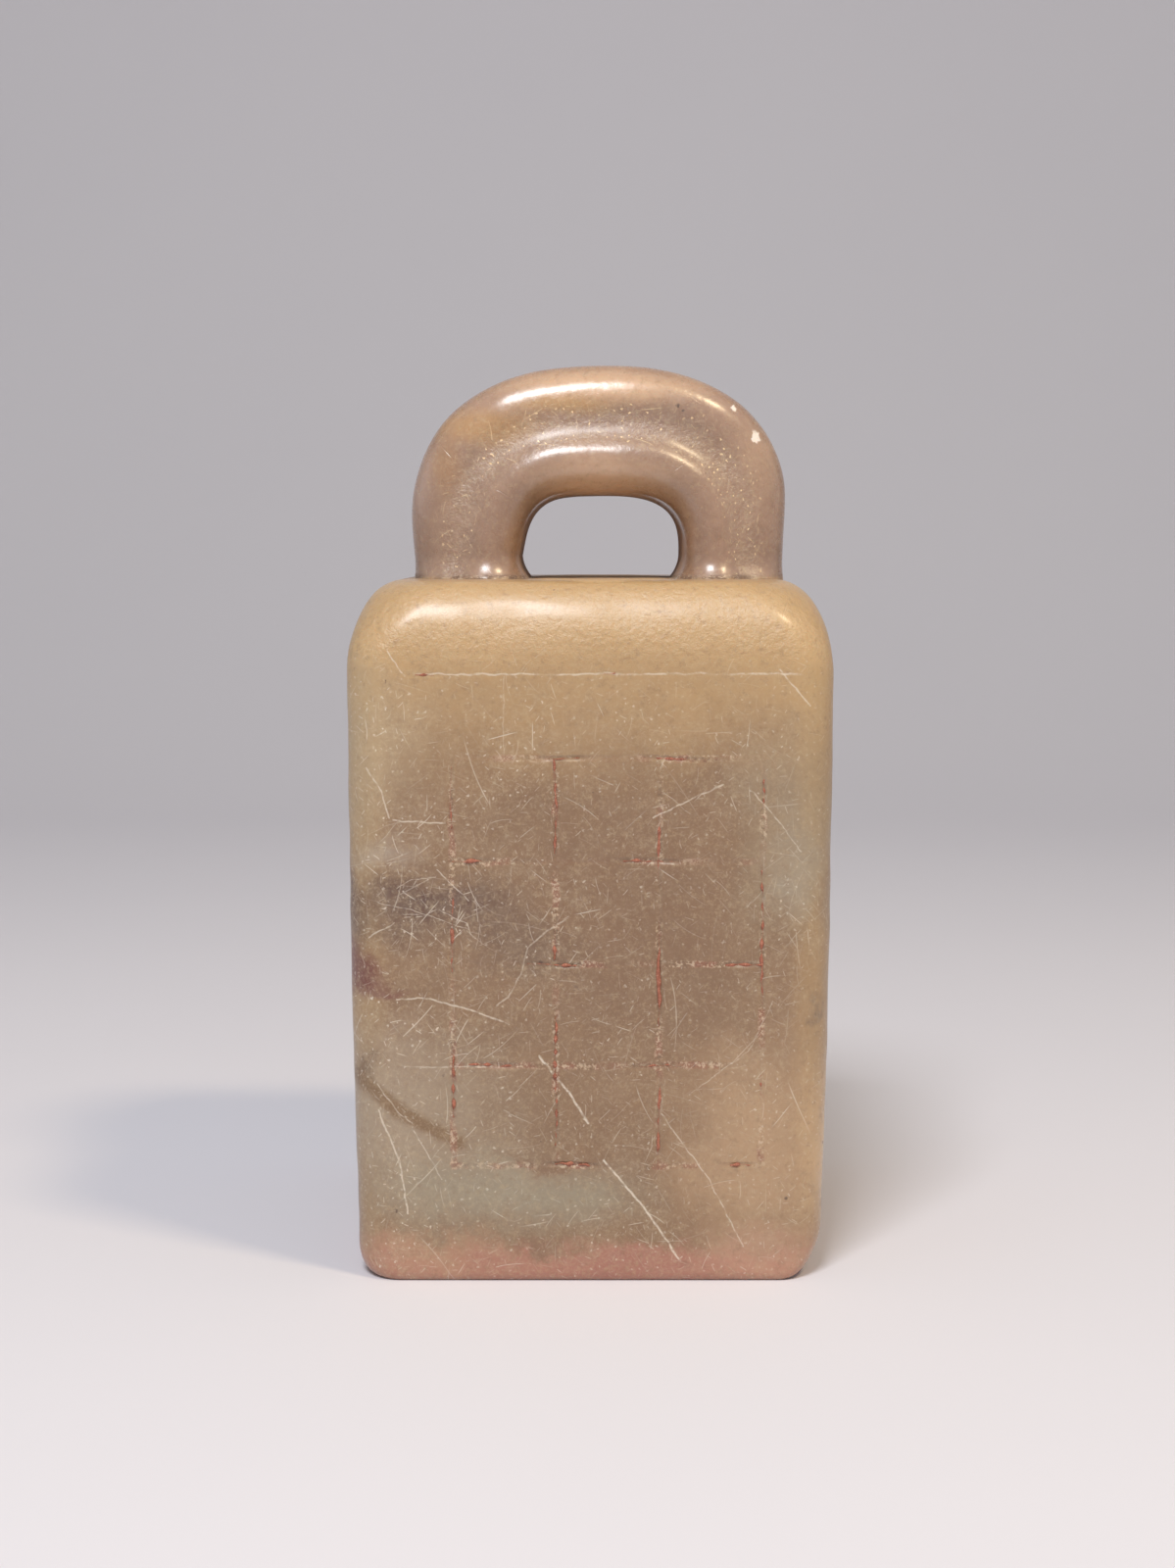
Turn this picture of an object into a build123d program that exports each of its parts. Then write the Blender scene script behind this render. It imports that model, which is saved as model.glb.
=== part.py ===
from build123d import *
import os
from math import cos, hypot, radians, sin, sqrt

os.makedirs("parts", exist_ok=True)

# A seal stamp carved from one square block of soapstone, with an arched loop knob.
# Sizes are in millimetres. The origin is the middle of the printing face, which rests
# on Z = 0. X runs across the front, Y from the front to the back, and Z up.
# The stone is one piece. It is cut at two flat planes into the three parts that a seal
# maker names: the knob, the body and the face.

# The block
foot_width = 24.4
foot_depth = 24.4
waist_width = 25.2
waist_depth = 25.2
body_height = 36.4
corner_radius = 2.2
foot_radius = 0.8

# The rounded shoulder, a quarter of a superellipse from the waist to the flat table
shoulder_drop = 5.0
shoulder_run = 3.0
shoulder_power = 2.25
shoulder_steps = 6
table_corner_radius = 3.6

# The two cuts: the knob's table above, and the printing face below
table_thickness = 0.6
face_thickness = 1.6

# The loop knob: two superellipses, outside and around the eye, over straight legs
knob_offset = 0.5
knob_overhang = 0.65
knob_height = 11.55
knob_widest_height = 3.5
knob_power = 2.3
neck_inset = 0.15
leg_thickness = 5.75
eye_offset = 0.7
eye_height = 4.65
eye_widest_height = 0.8
eye_power = 3.0
knob_root = 0.4
knob_foot_fillet = 0.9
knob_steps = 12

# The knob's section: an outer roll, a groove and an inner roll that stands further out
outer_half_depth = 4.4
outer_roll_radius = 2.4
inner_half_depth = 5.4
inner_roll_radius = 1.8
groove_radius = 2.0

# The printing face: a raised border, and a raised fret of four square spirals
carving_depth = 1.0
border_width = 1.2
stroke_width = 1.1
carving_corner_radius = 0.6
paste_thickness = 0.3

# One spiral, in shares of a quarter of the carved field, from the border inwards
spiral_shares = (
    (-0.1, 0.78),
    (0.87, 0.78),
    (0.87, 0.13),
    (0.24, 0.13),
    (0.24, 0.5),
    (0.62, 0.5),
    (0.62, 0.36),
)

# The panel on the front: a head rule, and worn rules that divide it into blank squares
panel_offset = 0.9
panel_margin = 2.85
head_rule_rise = 0.3
rule_width = 0.24
rule_depth = 0.2
pigment_thickness = 0.1
rows_drop = 4.3
columns_inset = 1.8
column_rules = 4
row_rules = 5

# Where pigment is left in the head rule, in shares of its length from the left end
head_pigment_shares = ((0.0, 0.06), (0.17, 0.2), (0.47, 0.56), (0.83, 0.86))

# What is left of each column rule, in shares of its length from the top
column_remains_shares = (
    ((0.02, 0.17), (0.34, 0.52), (0.71, 0.88)),
    ((0.0, 0.23), (0.42, 0.49), (0.63, 0.95)),
    ((0.08, 0.3), (0.39, 0.66), (0.8, 1.0)),
    ((0.05, 0.12), (0.27, 0.6), (0.76, 0.83)),
)

# What is left of each row rule, in shares of its length from the left
row_remains_shares = (
    ((0.3, 0.41), (0.62, 0.78)),
    ((0.0, 0.1), (0.55, 0.72)),
    ((0.24, 0.4), (0.88, 1.0)),
    ((0.05, 0.19), (0.6, 0.7)),
    ((0.33, 0.45), (0.9, 0.97)),
)

# The flat table is what the shoulders leave of the top, and the knob stands across it
waist_height = body_height - shoulder_drop
table_height = body_height - table_thickness
knob_half_width = waist_width / 2 - shoulder_run + knob_overhang
eye_half_width = knob_half_width - leg_thickness

# The panel keeps its margins from the sides of the block, and its squares share its width
head_rule_height = waist_height + head_rule_rise
head_rule_length = waist_width - 2 * panel_margin
rows_top_height = head_rule_height - rows_drop
row_length = head_rule_length - 2 * columns_inset
square_size = row_length / (column_rules - 1)
column_length = square_size * (row_rules - 1)

# The carved field is what the foot's rounding and the border leave of the face
field_width = foot_width - 2 * (foot_radius + border_width)
field_depth = foot_depth - 2 * (foot_radius + border_width)


def superellipse(half_width, rise, power, angle):
    """Point of a superellipse at a parameter angle: each axis is a power of cos or sin."""
    across = abs(cos(radians(angle))) ** (2 / power)
    side = 1 if angle <= 90 else -1
    up = abs(sin(radians(angle))) ** (2 / power)
    return half_width * across * side, rise * up


def leg_stations(side):
    """The two stations of a leg, from its root up. The side is 1 on the right, -1 on the left."""
    eye_x = eye_offset + side * eye_half_width
    neck_x = knob_offset + side * (knob_half_width - neck_inset)
    root = ((eye_x, -knob_root), (neck_x, -knob_root))
    neck = ((eye_x, eye_widest_height / 2), (neck_x, knob_widest_height / 3))
    return [root, neck]


def knob_stations():
    """Pairs of points, on the eye and on the outside, where the knob's sections stand."""
    arch = []
    for step in range(knob_steps + 1):
        angle = 180 * step / knob_steps
        eye_rise = eye_height - eye_widest_height
        eye_x, eye_z = superellipse(eye_half_width, eye_rise, eye_power, angle)
        knob_rise = knob_height - knob_widest_height
        out_x, out_z = superellipse(knob_half_width, knob_rise, knob_power, angle)
        eye_point = (eye_offset + eye_x, eye_widest_height + eye_z)
        out_point = (knob_offset + out_x, knob_widest_height + out_z)
        arch.append((eye_point, out_point))
    return leg_stations(1) + arch + leg_stations(-1)[::-1]


def section_plane(inner, outer):
    """Plane through a pair of points, with its X axis from the eye to the outside."""
    origin = Vector(inner[0], 0, inner[1] + body_height)
    outwards = Vector(outer[0] - inner[0], 0, outer[1] - inner[1])
    return Plane(origin=origin, x_dir=outwards, z_dir=outwards.cross(Vector(0, 1, 0)))


def groove_centre(inner_roll, outer_roll):
    """Centre of the groove's arc, which touches both rolls from outside."""
    span = outer_roll - inner_roll
    to_inner = groove_radius + inner_roll_radius
    to_outer = groove_radius + outer_roll_radius
    along = (span.length**2 + to_inner**2 - to_outer**2) / (2 * span.length)
    aside = sqrt(to_inner**2 - along**2)
    unit = span.normalized()
    return inner_roll + unit * along + Vector(-unit.Y, unit.X) * aside


def bulge(centre, start, end):
    """Middle of the arc about a centre that runs the short way from start to end."""
    outwards = (start + end) / 2 - centre
    return centre + outwards.normalized() * (start - centre).length


# The stone in one piece: the block, and the loop knob lofted through its sections
with BuildPart() as stone:
    with BuildSketch(Plane.XY):
        RectangleRounded(foot_width, foot_depth, corner_radius)
    with BuildSketch(Plane.XY.offset(waist_height)):
        RectangleRounded(waist_width, waist_depth, corner_radius)
    loft()
    with BuildSketch(Plane.XY.offset(waist_height)):
        RectangleRounded(waist_width, waist_depth, corner_radius)
    for step in range(1, shoulder_steps + 1):
        angle = 90 * step / shoulder_steps
        inwards, up = superellipse(shoulder_run, shoulder_drop, shoulder_power, angle)
        draw_in = shoulder_run - inwards
        radius = corner_radius + (table_corner_radius - corner_radius) * draw_in / shoulder_run
        with BuildSketch(Plane.XY.offset(waist_height + up)):
            RectangleRounded(waist_width - 2 * draw_in, waist_depth - 2 * draw_in, radius)
    loft()
    fillet(stone.edges().group_by(Axis.Z)[0], foot_radius)

    for inner, outer in knob_stations():
        thickness = hypot(outer[0] - inner[0], outer[1] - inner[1])
        inner_roll = Vector(inner_roll_radius, inner_half_depth - inner_roll_radius)
        outer_roll = Vector(thickness - outer_roll_radius, outer_half_depth - outer_roll_radius)
        groove = groove_centre(inner_roll, outer_roll)
        inner_touch = inner_roll + (groove - inner_roll).normalized() * inner_roll_radius
        outer_touch = outer_roll + (groove - outer_roll).normalized() * outer_roll_radius
        inner_side = Vector(0, inner_roll.Y)
        outer_side = Vector(thickness, outer_roll.Y)
        with BuildSketch(section_plane(inner, outer)):
            with BuildLine():
                Line((0, 0), inner_side)
                ThreePointArc(inner_side, bulge(inner_roll, inner_side, inner_touch), inner_touch)
                ThreePointArc(inner_touch, bulge(groove, inner_touch, outer_touch), outer_touch)
                ThreePointArc(outer_touch, bulge(outer_roll, outer_touch, outer_side), outer_side)
                Line(outer_side, (thickness, 0))
                mirror(about=Plane.XZ)
            make_face()
    loft()
    fillet(stone.edges(Select.NEW), knob_foot_fillet)

# The knob, with the table that its feet grow out of
with BuildPart() as arch_knob:
    add(stone.part)
    split(bisect_by=Plane.XY.offset(table_height), keep=Keep.TOP)

arch_knob.part.label = "arch_knob"
export_step(arch_knob.part, "parts/arch_knob.step")

# The front of the block leans out a little from the foot to the waist
lean = (waist_depth - foot_depth) / 2
front = Plane(
    origin=(0, -foot_depth / 2, 0),
    x_dir=(1, 0, 0),
    z_dir=(0, -waist_height, -lean),
)


def rule_marks():
    """Remains of the panel's rules on the front, each as middle x, middle height, size."""
    marks = []
    left = panel_offset - row_length / 2
    for column, remains in enumerate(column_remains_shares):
        for start_share, end_share in remains:
            middle = rows_top_height - column_length * (start_share + end_share) / 2
            length = column_length * (end_share - start_share)
            marks.append((left + square_size * column, middle, rule_width, length))
    for row, remains in enumerate(row_remains_shares):
        for start_share, end_share in remains:
            middle = left + row_length * (start_share + end_share) / 2
            length = row_length * (end_share - start_share)
            marks.append((middle, rows_top_height - square_size * row, length, rule_width))
    return marks


def head_marks():
    """Stretches of the head rule that still hold pigment, in the form of rule_marks."""
    marks = []
    for start_share, end_share in head_pigment_shares:
        middle = panel_offset + head_rule_length * ((start_share + end_share) / 2 - 0.5)
        length = head_rule_length * (end_share - start_share)
        marks.append((middle, head_rule_height, length, rule_width))
    return marks


# The body, between the two cuts, with the rules engraved in its front
with BuildPart() as seal_body:
    add(stone.part)
    split(bisect_by=Plane.XY.offset(table_height), keep=Keep.BOTTOM)
    split(bisect_by=Plane.XY.offset(face_thickness), keep=Keep.TOP)
    with BuildSketch(front):
        with Locations((panel_offset, head_rule_height)):
            Rectangle(head_rule_length, rule_width)
        for x, height, width, length in rule_marks():
            with Locations((x, height)):
                Rectangle(width, length)
    extrude(amount=rule_depth, both=True, mode=Mode.SUBTRACT)

seal_body.part.label = "seal_body"
export_step(seal_body.part, "parts/seal_body.step")

# The pigment that is left on the floor of the grooves
with BuildPart() as rule_pigment:
    with BuildSketch(front.offset(-rule_depth)):
        for x, height, width, length in rule_marks() + head_marks():
            with Locations((x, height)):
                Rectangle(width, length)
    extrude(amount=pigment_thickness)

rule_pigment.part.label = "rule_pigment"
export_step(rule_pigment.part, "parts/rule_pigment.step")

# The four spirals, mirrored from one that grows out of the left side of the border
with BuildSketch() as spirals:
    with BuildLine():
        turns = []
        for across_share, up_share in spiral_shares:
            turns.append((field_width / 2 * (across_share - 1), field_depth / 2 * up_share))
        Polyline(*turns)
        offset(amount=stroke_width / 2)
    make_face()
    mirror(about=Plane.XZ)
    mirror(about=Plane.YZ)

# The plan of the ground that is cut back: the field inside the border, less the spirals
with BuildSketch() as carved_ground:
    RectangleRounded(field_width, field_depth, carving_corner_radius)
    add(spirals.sketch, mode=Mode.SUBTRACT)

# The printing face, with its ground cut back between the border and the strokes
with BuildPart() as seal_face:
    add(stone.part)
    split(bisect_by=Plane.XY.offset(face_thickness), keep=Keep.BOTTOM)
    add(carved_ground.sketch)
    extrude(amount=carving_depth, mode=Mode.SUBTRACT)

seal_face.part.label = "seal_face"
export_step(seal_face.part, "parts/seal_face.step")

# Dried paste on the ground of the carving
with BuildPart() as face_paste:
    with BuildSketch(Plane.XY.offset(carving_depth)):
        add(carved_ground.sketch)
    extrude(amount=-paste_thickness)

face_paste.part.label = "face_paste"
export_step(face_paste.part, "parts/face_paste.step")
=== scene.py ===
"""Looks of a carved seal stamp: one block of waxy soft stone with a loop knob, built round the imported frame.

Lengths are in millimetres until a mesh, a lamp or the camera is made, where MM turns them into metres.
"""
import logging
from collections.abc import Iterator
from dataclasses import dataclass, field
from enum import Enum
from functools import reduce
from math import cos, hypot, pi, radians, sin

import bpy
import numpy as np
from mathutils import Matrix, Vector


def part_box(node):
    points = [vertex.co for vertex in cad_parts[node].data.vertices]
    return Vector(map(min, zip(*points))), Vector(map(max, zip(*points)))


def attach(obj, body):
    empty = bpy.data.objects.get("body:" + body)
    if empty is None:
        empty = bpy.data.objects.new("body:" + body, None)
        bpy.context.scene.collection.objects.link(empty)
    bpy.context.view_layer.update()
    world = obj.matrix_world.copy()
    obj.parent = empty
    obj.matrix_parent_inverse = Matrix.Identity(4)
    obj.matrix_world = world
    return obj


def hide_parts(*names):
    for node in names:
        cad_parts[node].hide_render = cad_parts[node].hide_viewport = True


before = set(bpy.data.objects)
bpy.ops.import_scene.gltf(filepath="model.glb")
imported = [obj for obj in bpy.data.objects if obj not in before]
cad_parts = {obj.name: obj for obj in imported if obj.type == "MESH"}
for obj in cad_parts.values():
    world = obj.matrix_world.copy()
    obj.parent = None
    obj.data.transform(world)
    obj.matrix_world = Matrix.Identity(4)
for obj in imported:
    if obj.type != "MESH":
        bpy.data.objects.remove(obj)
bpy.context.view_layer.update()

MM = 0.001
WAVELENGTH_SPREAD = (0.7, 1.5)

Point2 = tuple[float, float]
Point3 = tuple[float, float, float]
Rgb = tuple[int, int, int]
Tint = tuple[float, float, float, float]
Sides = tuple[float, float, float, float]
Socket = bpy.types.NodeSocket
Feed = Socket | float | tuple[float, ...]

log = logging.getLogger("seal_stamp")


def tint(red: int, green: int, blue: int) -> Tint:
    """Turns a display colour into the linear colour that a shader takes.

    The formula is the display curve's inverse: a straight line near black and a power of 2.4 above it.

    Args:
        red: Red, 0 to 255.
        green: Green, 0 to 255.
        blue: Blue, 0 to 255.

    Returns:
        The linear colour, opaque.
    """
    shares = np.array([red, green, blue]) / 255
    linear = np.where(shares <= 0.04045, shares / 12.92, ((shares + 0.055) / 1.055) ** 2.4)
    return (float(linear[0]), float(linear[1]), float(linear[2]), 1.0)


def box_mm(node: str) -> tuple[np.ndarray, np.ndarray]:
    """Gives a frame node's lowest and highest corners, in millimetres."""
    low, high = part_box(node)
    return np.array(low) / MM, np.array(high) / MM


def ease(low: float, high: float, value: np.ndarray) -> np.ndarray:
    """Rises smoothly from 0 at low to 1 at high: three times the share squared, less twice its cube."""
    share = np.clip((value - low) / (high - low), 0, 1)
    return share * share * (3 - 2 * share)


def window(rise: Point2, fall: Point2, value: np.ndarray) -> np.ndarray:
    """Rises smoothly over the first stretch, stays at 1, and falls over the second."""
    return ease(*rise, value) * (1 - ease(*fall, value))


def superellipse_inset(share: np.ndarray, power: float) -> np.ndarray:
    """Gives how far a rounded edge has drawn in: one, less the power root of one less the share's power."""
    return 1 - np.maximum(1 - np.clip(share, 0, 1) ** power, 0) ** (1 / power)


def stacked(*parts: np.ndarray | float) -> np.ndarray:
    """Spreads coordinates to one shape and stacks them along a new last axis."""
    return np.stack(np.broadcast_arrays(*parts), -1)


def beside(steps: tuple[float, ...]) -> np.ndarray:
    """Gives the steps on both sides of a line, with the line itself between them."""
    return np.array([*(-step for step in reversed(steps)), 0.0, *steps])


def run_length(line: np.ndarray, closed: bool = False) -> np.ndarray:
    """Gives how far each place lies along a line, and where it is closed, its whole girth as the last."""
    ends = np.concatenate([line, line[:1]]) if closed else line
    return np.concatenate([[0], np.cumsum(np.linalg.norm(np.diff(ends, axis=0), axis=1))])


def ripple(places: np.ndarray, wavelength: float, seed: int, waves: int = 9) -> np.ndarray:
    """Gives a smooth uneven field over places in space.

    It is the mean of sines along seeded directions, each with its own phase, with wavelengths spread
    round the one given, and it is scaled so that it mostly stays between -1 and 1.

    Args:
        places: Array whose last axis is X, Y and Z.
        wavelength: Middle wavelength.
        seed: Seed of the directions and phases.
        waves: How many sines are added.

    Returns:
        One value for each place.
    """
    draw = np.random.default_rng(seed)
    turns = draw.normal(size=(waves, 3))
    turns /= np.linalg.norm(turns, axis=1, keepdims=True)
    pitch = 2 * pi / (wavelength * draw.uniform(*WAVELENGTH_SPREAD, waves))
    phase = draw.uniform(0, 2 * pi, waves)
    angle = places @ (turns * pitch[:, None]).T + phase
    return np.sin(angle).sum(-1) / (0.5 * waves)


def wander(along: np.ndarray, wavelength: float, seed: int, waves: int = 5) -> np.ndarray:
    """Gives a smooth uneven line: ripple read along one axis."""
    return ripple(stacked(along, 0.0, 0.0), wavelength, seed, waves)


@dataclass(frozen=True)
class Ripple:
    """A ripple of a given size."""

    size: float
    wavelength: float
    seed: int

    def over(self, places: np.ndarray) -> np.ndarray:
        """Gives its size times ripple's value at each place."""
        return self.size * ripple(places, self.wavelength, self.seed)


@dataclass(frozen=True)
class HandCut:
    """How a hand-cut surface strays from the true one: a long ripple and a shorter one, both inwards.

    Attributes:
        depth: How far the long ripple goes.
        long: Its wavelength.
        short: Wavelength of the shorter one.
        short_share: Share of the depth that the shorter one has.
        seed: Seed of the long ripple. The shorter one has the next.
    """

    depth: float
    long: float
    short: float
    short_share: float
    seed: int

    CREST = 1.2

    def off(self, places: np.ndarray) -> np.ndarray:
        """Gives how far each place stands off, where a ripple's crest is held below the true surface."""
        long = self.depth * (ripple(places, self.long, self.seed) - self.CREST)
        return long + self.short_share * self.depth * (ripple(places, self.short, self.seed + 1) - self.CREST)


@dataclass
class Shell:
    """A closed surface: its places, its four-sided and three-sided faces, and a flat map of each.

    Attributes:
        places: Vertices.
        quads: Four-sided faces.
        quad_map: Map coordinates of each corner of the quads.
        fans: Three-sided faces.
        fan_map: Map coordinates of each corner of the fans.
    """

    places: np.ndarray
    quads: np.ndarray
    quad_map: np.ndarray
    fans: np.ndarray = field(default_factory=lambda: np.zeros((0, 3), int))
    fan_map: np.ndarray = field(default_factory=lambda: np.zeros((0, 3, 2)))

    MAP_NAME = "wrap"

    @staticmethod
    def merged(shells: list["Shell"]) -> "Shell":
        """Gives several shells as one.

        Args:
            shells: The shells.

        Returns:
            One shell that holds them side by side.
        """
        firsts = np.cumsum([0] + [len(shell.places) for shell in shells])
        return Shell(
            np.concatenate([shell.places for shell in shells]),
            np.concatenate([shell.quads + first for shell, first in zip(shells, firsts)]),
            np.concatenate([shell.quad_map for shell in shells]),
            np.concatenate([shell.fans + first for shell, first in zip(shells, firsts)]),
            np.concatenate([shell.fan_map for shell in shells]),
        )

    def volume(self) -> float:
        """Gives the enclosed volume.

        Returns:
            A sixth of the sum over triangles of a corner's product with the other two's cross product.
        """
        halves = np.concatenate([self.quads[:, [0, 1, 2]], self.quads[:, [0, 2, 3]], self.fans])
        a, b, c = (self.places[halves[:, k]] for k in range(3))
        return float((a * np.cross(b, c)).sum() / 6)

    def facing_out(self) -> "Shell":
        """Turns every face outwards.

        Returns:
            The same shell where its volume isn't below zero, and else one with every face reversed.
        """
        if self.volume() >= 0:
            return self
        turned = (part[:, ::-1] for part in (self.quads, self.quad_map, self.fans, self.fan_map))
        return Shell(self.places, *turned)

    def to_object(self, name: str) -> bpy.types.Object:
        """Makes the shell a smooth-shaded object at the origin.

        Args:
            name: The object's name.

        Returns:
            The object, linked to the scene.
        """
        shell = self.facing_out()
        mesh = bpy.data.meshes.new(name)
        mesh.from_pydata((shell.places * MM).tolist(), [], shell.quads.tolist() + shell.fans.tolist())
        corners = np.concatenate([shell.quad_map.reshape(-1, 2), shell.fan_map.reshape(-1, 2)])
        layer = mesh.uv_layers.new(name=self.MAP_NAME)
        layer.uv.foreach_set("vector", corners.astype(np.float32).ravel())
        mesh.shade_smooth()
        piece = bpy.data.objects.new(name, mesh)
        bpy.context.scene.collection.objects.link(piece)
        return piece


def woven(places: np.ndarray, chart: np.ndarray, closed: bool) -> Shell:
    """Makes a grid of places a surface of quads.

    Face (i, j) joins the grid's places (i, j), (i, j+1), (i+1, j+1) and (i+1, j).

    Args:
        places: Rows by columns by 3.
        chart: Map coordinates, rows by columns by 2, with one column more than places where it is closed.
        closed: Whether the last column joins the first.

    Returns:
        The surface, open at its first and last rows.
    """
    rows, columns = places.shape[:2]
    across = columns if closed else columns - 1
    i, j = (part.ravel() for part in np.meshgrid(np.arange(rows - 1), np.arange(across), indexing="ij"))
    steps = ((0, 0), (0, 1), (1, 1), (1, 0))
    quads = np.stack([(i + di) * columns + (j + dj) % columns for di, dj in steps], 1)
    quad_map = np.stack([chart[i + di, j + dj] for di, dj in steps], 1)
    return Shell(places.reshape(-1, 3), quads, quad_map)


def capped(places: np.ndarray, chart: np.ndarray) -> Shell:
    """Weaves a grid that closes round, and closes each end with a fan to the middle of its ring.

    Args:
        places: Rows by columns by 3.
        chart: Map coordinates, with one column more.

    Returns:
        The closed shell.
    """
    rows, columns = places.shape[:2]
    side = woven(places, chart, True)
    poles, fans, fan_maps = [], [], []
    for end, (row, turn) in enumerate(((0, -1), (rows - 1, 1))):
        ring = row * columns + np.arange(columns)
        corners = (chart[row, :-1], chart[row, 1:])
        pole = np.full(columns, rows * columns + end)
        poles.append(places[row].mean(0))
        fans.append(np.stack([*(ring, np.roll(ring, -1))[::turn], pole], 1))
        fan_maps.append(np.stack([*corners[::turn], sum(corners) / 2], 1))
    closed = np.concatenate([side.places, np.stack(poles)])
    return Shell(closed, side.quads, side.quad_map, np.concatenate(fans), np.concatenate(fan_maps))


@dataclass(frozen=True)
class Rule:
    """One engraved rule of the side panel, straight but for a hand's waver.

    Attributes:
        upright: Whether it runs along Z rather than X.
        place: Its X if upright, else its Z.
        start: Where it starts along its length.
        end: Where it ends.
        depth: Deepest cut.
        seed: Seed of its waver and wear.
        remains: Stretches that still hold pigment, as shares of its length.
    """

    upright: bool
    place: float
    start: float
    end: float
    depth: float
    seed: int
    remains: tuple[Point2, ...]

    WAVER = 0.07
    WAVER_LENGTH = 5.5
    REACH = 0.8
    PULL_FADE = 2
    FADE = 0.8
    OVERRUN = 0.1
    MEAN_SHARE = 0.7
    UNEVEN_SHARE = 0.4
    LEAST_SHARE = 0.3
    WORN_SHARE = 0.16
    WORN_FADE = 0.5
    WEAR_LENGTH = 1.7
    WEAR_SEED = 50

    def waver(self, along: np.ndarray) -> np.ndarray:
        """Gives how far the rule strays sideways at each place along it."""
        return self.WAVER * wander(along, self.WAVER_LENGTH, self.seed)

    def pull(self, across: np.ndarray, along: np.ndarray) -> np.ndarray:
        """Gives how far the grid near the rule shifts with its waver, fading off as a bell curve.

        Args:
            across: Coordinate across the rule.
            along: Coordinate along it.

        Returns:
            The shift across, at each place.
        """
        rise, fall = (self.start - self.PULL_FADE, self.start), (self.end, self.end + self.PULL_FADE)
        bell = np.exp(-(((across - self.place) / self.REACH) ** 2))
        return self.waver(along) * window(rise, fall, along) * bell

    def stretches(self) -> list[Point2]:
        """Lists where each stretch that still holds pigment starts and ends along the rule."""
        length = self.end - self.start
        return [(self.start + low * length, self.start + high * length) for low, high in self.remains]

    def kept(self, along: np.ndarray) -> np.ndarray:
        """Gives the share of the depth that is left: all of it round the pigment, and little elsewhere.

        Args:
            along: Coordinate along the rule.

        Returns:
            The share at each place.
        """
        whole = np.zeros_like(along)
        for first, last in self.stretches():
            near = window((first - self.WORN_FADE, first), (last, last + self.WORN_FADE), along)
            whole = np.maximum(whole, near)
        return self.WORN_SHARE + (1 - self.WORN_SHARE) * whole

    def cut(self, across: np.ndarray, along: np.ndarray, half_width: float) -> np.ndarray:
        """Gives the groove's depth on the grid before it shifts.

        The section is one less the square of the share of the half width. The depth along the rule is
        uneven, fades out at the ends, and is nearly worn away where no pigment is left.

        Args:
            across: Coordinate across the rule.
            along: Coordinate along it.
            half_width: Half of the groove's width.

        Returns:
            The depth at each place.
        """
        section = np.maximum(1 - ((across - self.place) / half_width) ** 2, 0)
        worn = wander(along, self.WEAR_LENGTH, self.seed + self.WEAR_SEED)
        left = np.clip(self.MEAN_SHARE + self.UNEVEN_SHARE * worn, self.LEAST_SHARE, 1) * self.kept(along)
        rise = (self.start - self.OVERRUN, self.start + self.FADE)
        fall = (self.end - self.FADE, self.end + self.OVERRUN)
        return self.depth * section * left * window(rise, fall, along)


@dataclass(frozen=True)
class Panel:
    """The worn ruled panel on the front: a head rule, and blank squares below it."""

    offset: float = 0.9
    square: float = 5.3
    head_height: float = 31.7
    head_length: float = 19.5
    rows_top: float = 27.4
    columns: int = 4
    rows: int = 5
    half_width: float = 0.15
    depth: float = 0.08
    head_depth: float = 0.05
    head_seed: int = 7
    column_seed: int = 11
    row_seed: int = 21
    head_remains: tuple[Point2, ...] = ((0, 0.05), (0.49, 0.52))
    column_remains: tuple[tuple[Point2, ...], ...] = (
        ((0.02, 0.17), (0.34, 0.52), (0.71, 0.88)),
        ((0, 0.23), (0.42, 0.49), (0.63, 0.95)),
        ((0.08, 0.3), (0.39, 0.66), (0.8, 1.0)),
        ((0.05, 0.12), (0.27, 0.6), (0.76, 0.83)),
    )
    row_remains: tuple[tuple[Point2, ...], ...] = (
        ((0.3, 0.41), (0.62, 0.78)),
        ((0, 0.1), (0.55, 0.72)),
        ((0.24, 0.4), (0.88, 1.0)),
        ((0.05, 0.19), (0.6, 0.7)),
        ((0.33, 0.45), (0.9, 0.97)),
    )

    @property
    def left(self) -> float:
        """X of the first column rule."""
        return self.offset - self.square * (self.columns - 1) / 2

    @property
    def foot(self) -> float:
        """Height of the lowest row rule."""
        return self.rows_top - self.square * (self.rows - 1)

    def rules(self) -> list[Rule]:
        """Lists the rules: the head rule, the columns from the left and the rows from the top.

        Returns:
            The rules, with a column's remains counted from its top.
        """
        left, foot, top, depth = self.left, self.foot, self.rows_top, self.depth
        right = left + self.square * (self.columns - 1)
        head = self.offset - self.head_length / 2
        reach = (head, head + self.head_length)
        found = [Rule(False, self.head_height, *reach, self.head_depth, self.head_seed, self.head_remains)]
        span = (foot, top, depth)
        for k, shares in enumerate(self.column_remains):
            from_foot = tuple((1 - high, 1 - low) for low, high in shares)
            found.append(Rule(True, left + k * self.square, *span, self.column_seed + k, from_foot))
        for k, shares in enumerate(self.row_remains):
            found.append(Rule(False, top - k * self.square, left, right, depth, self.row_seed + k, shares))
        return found


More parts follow.
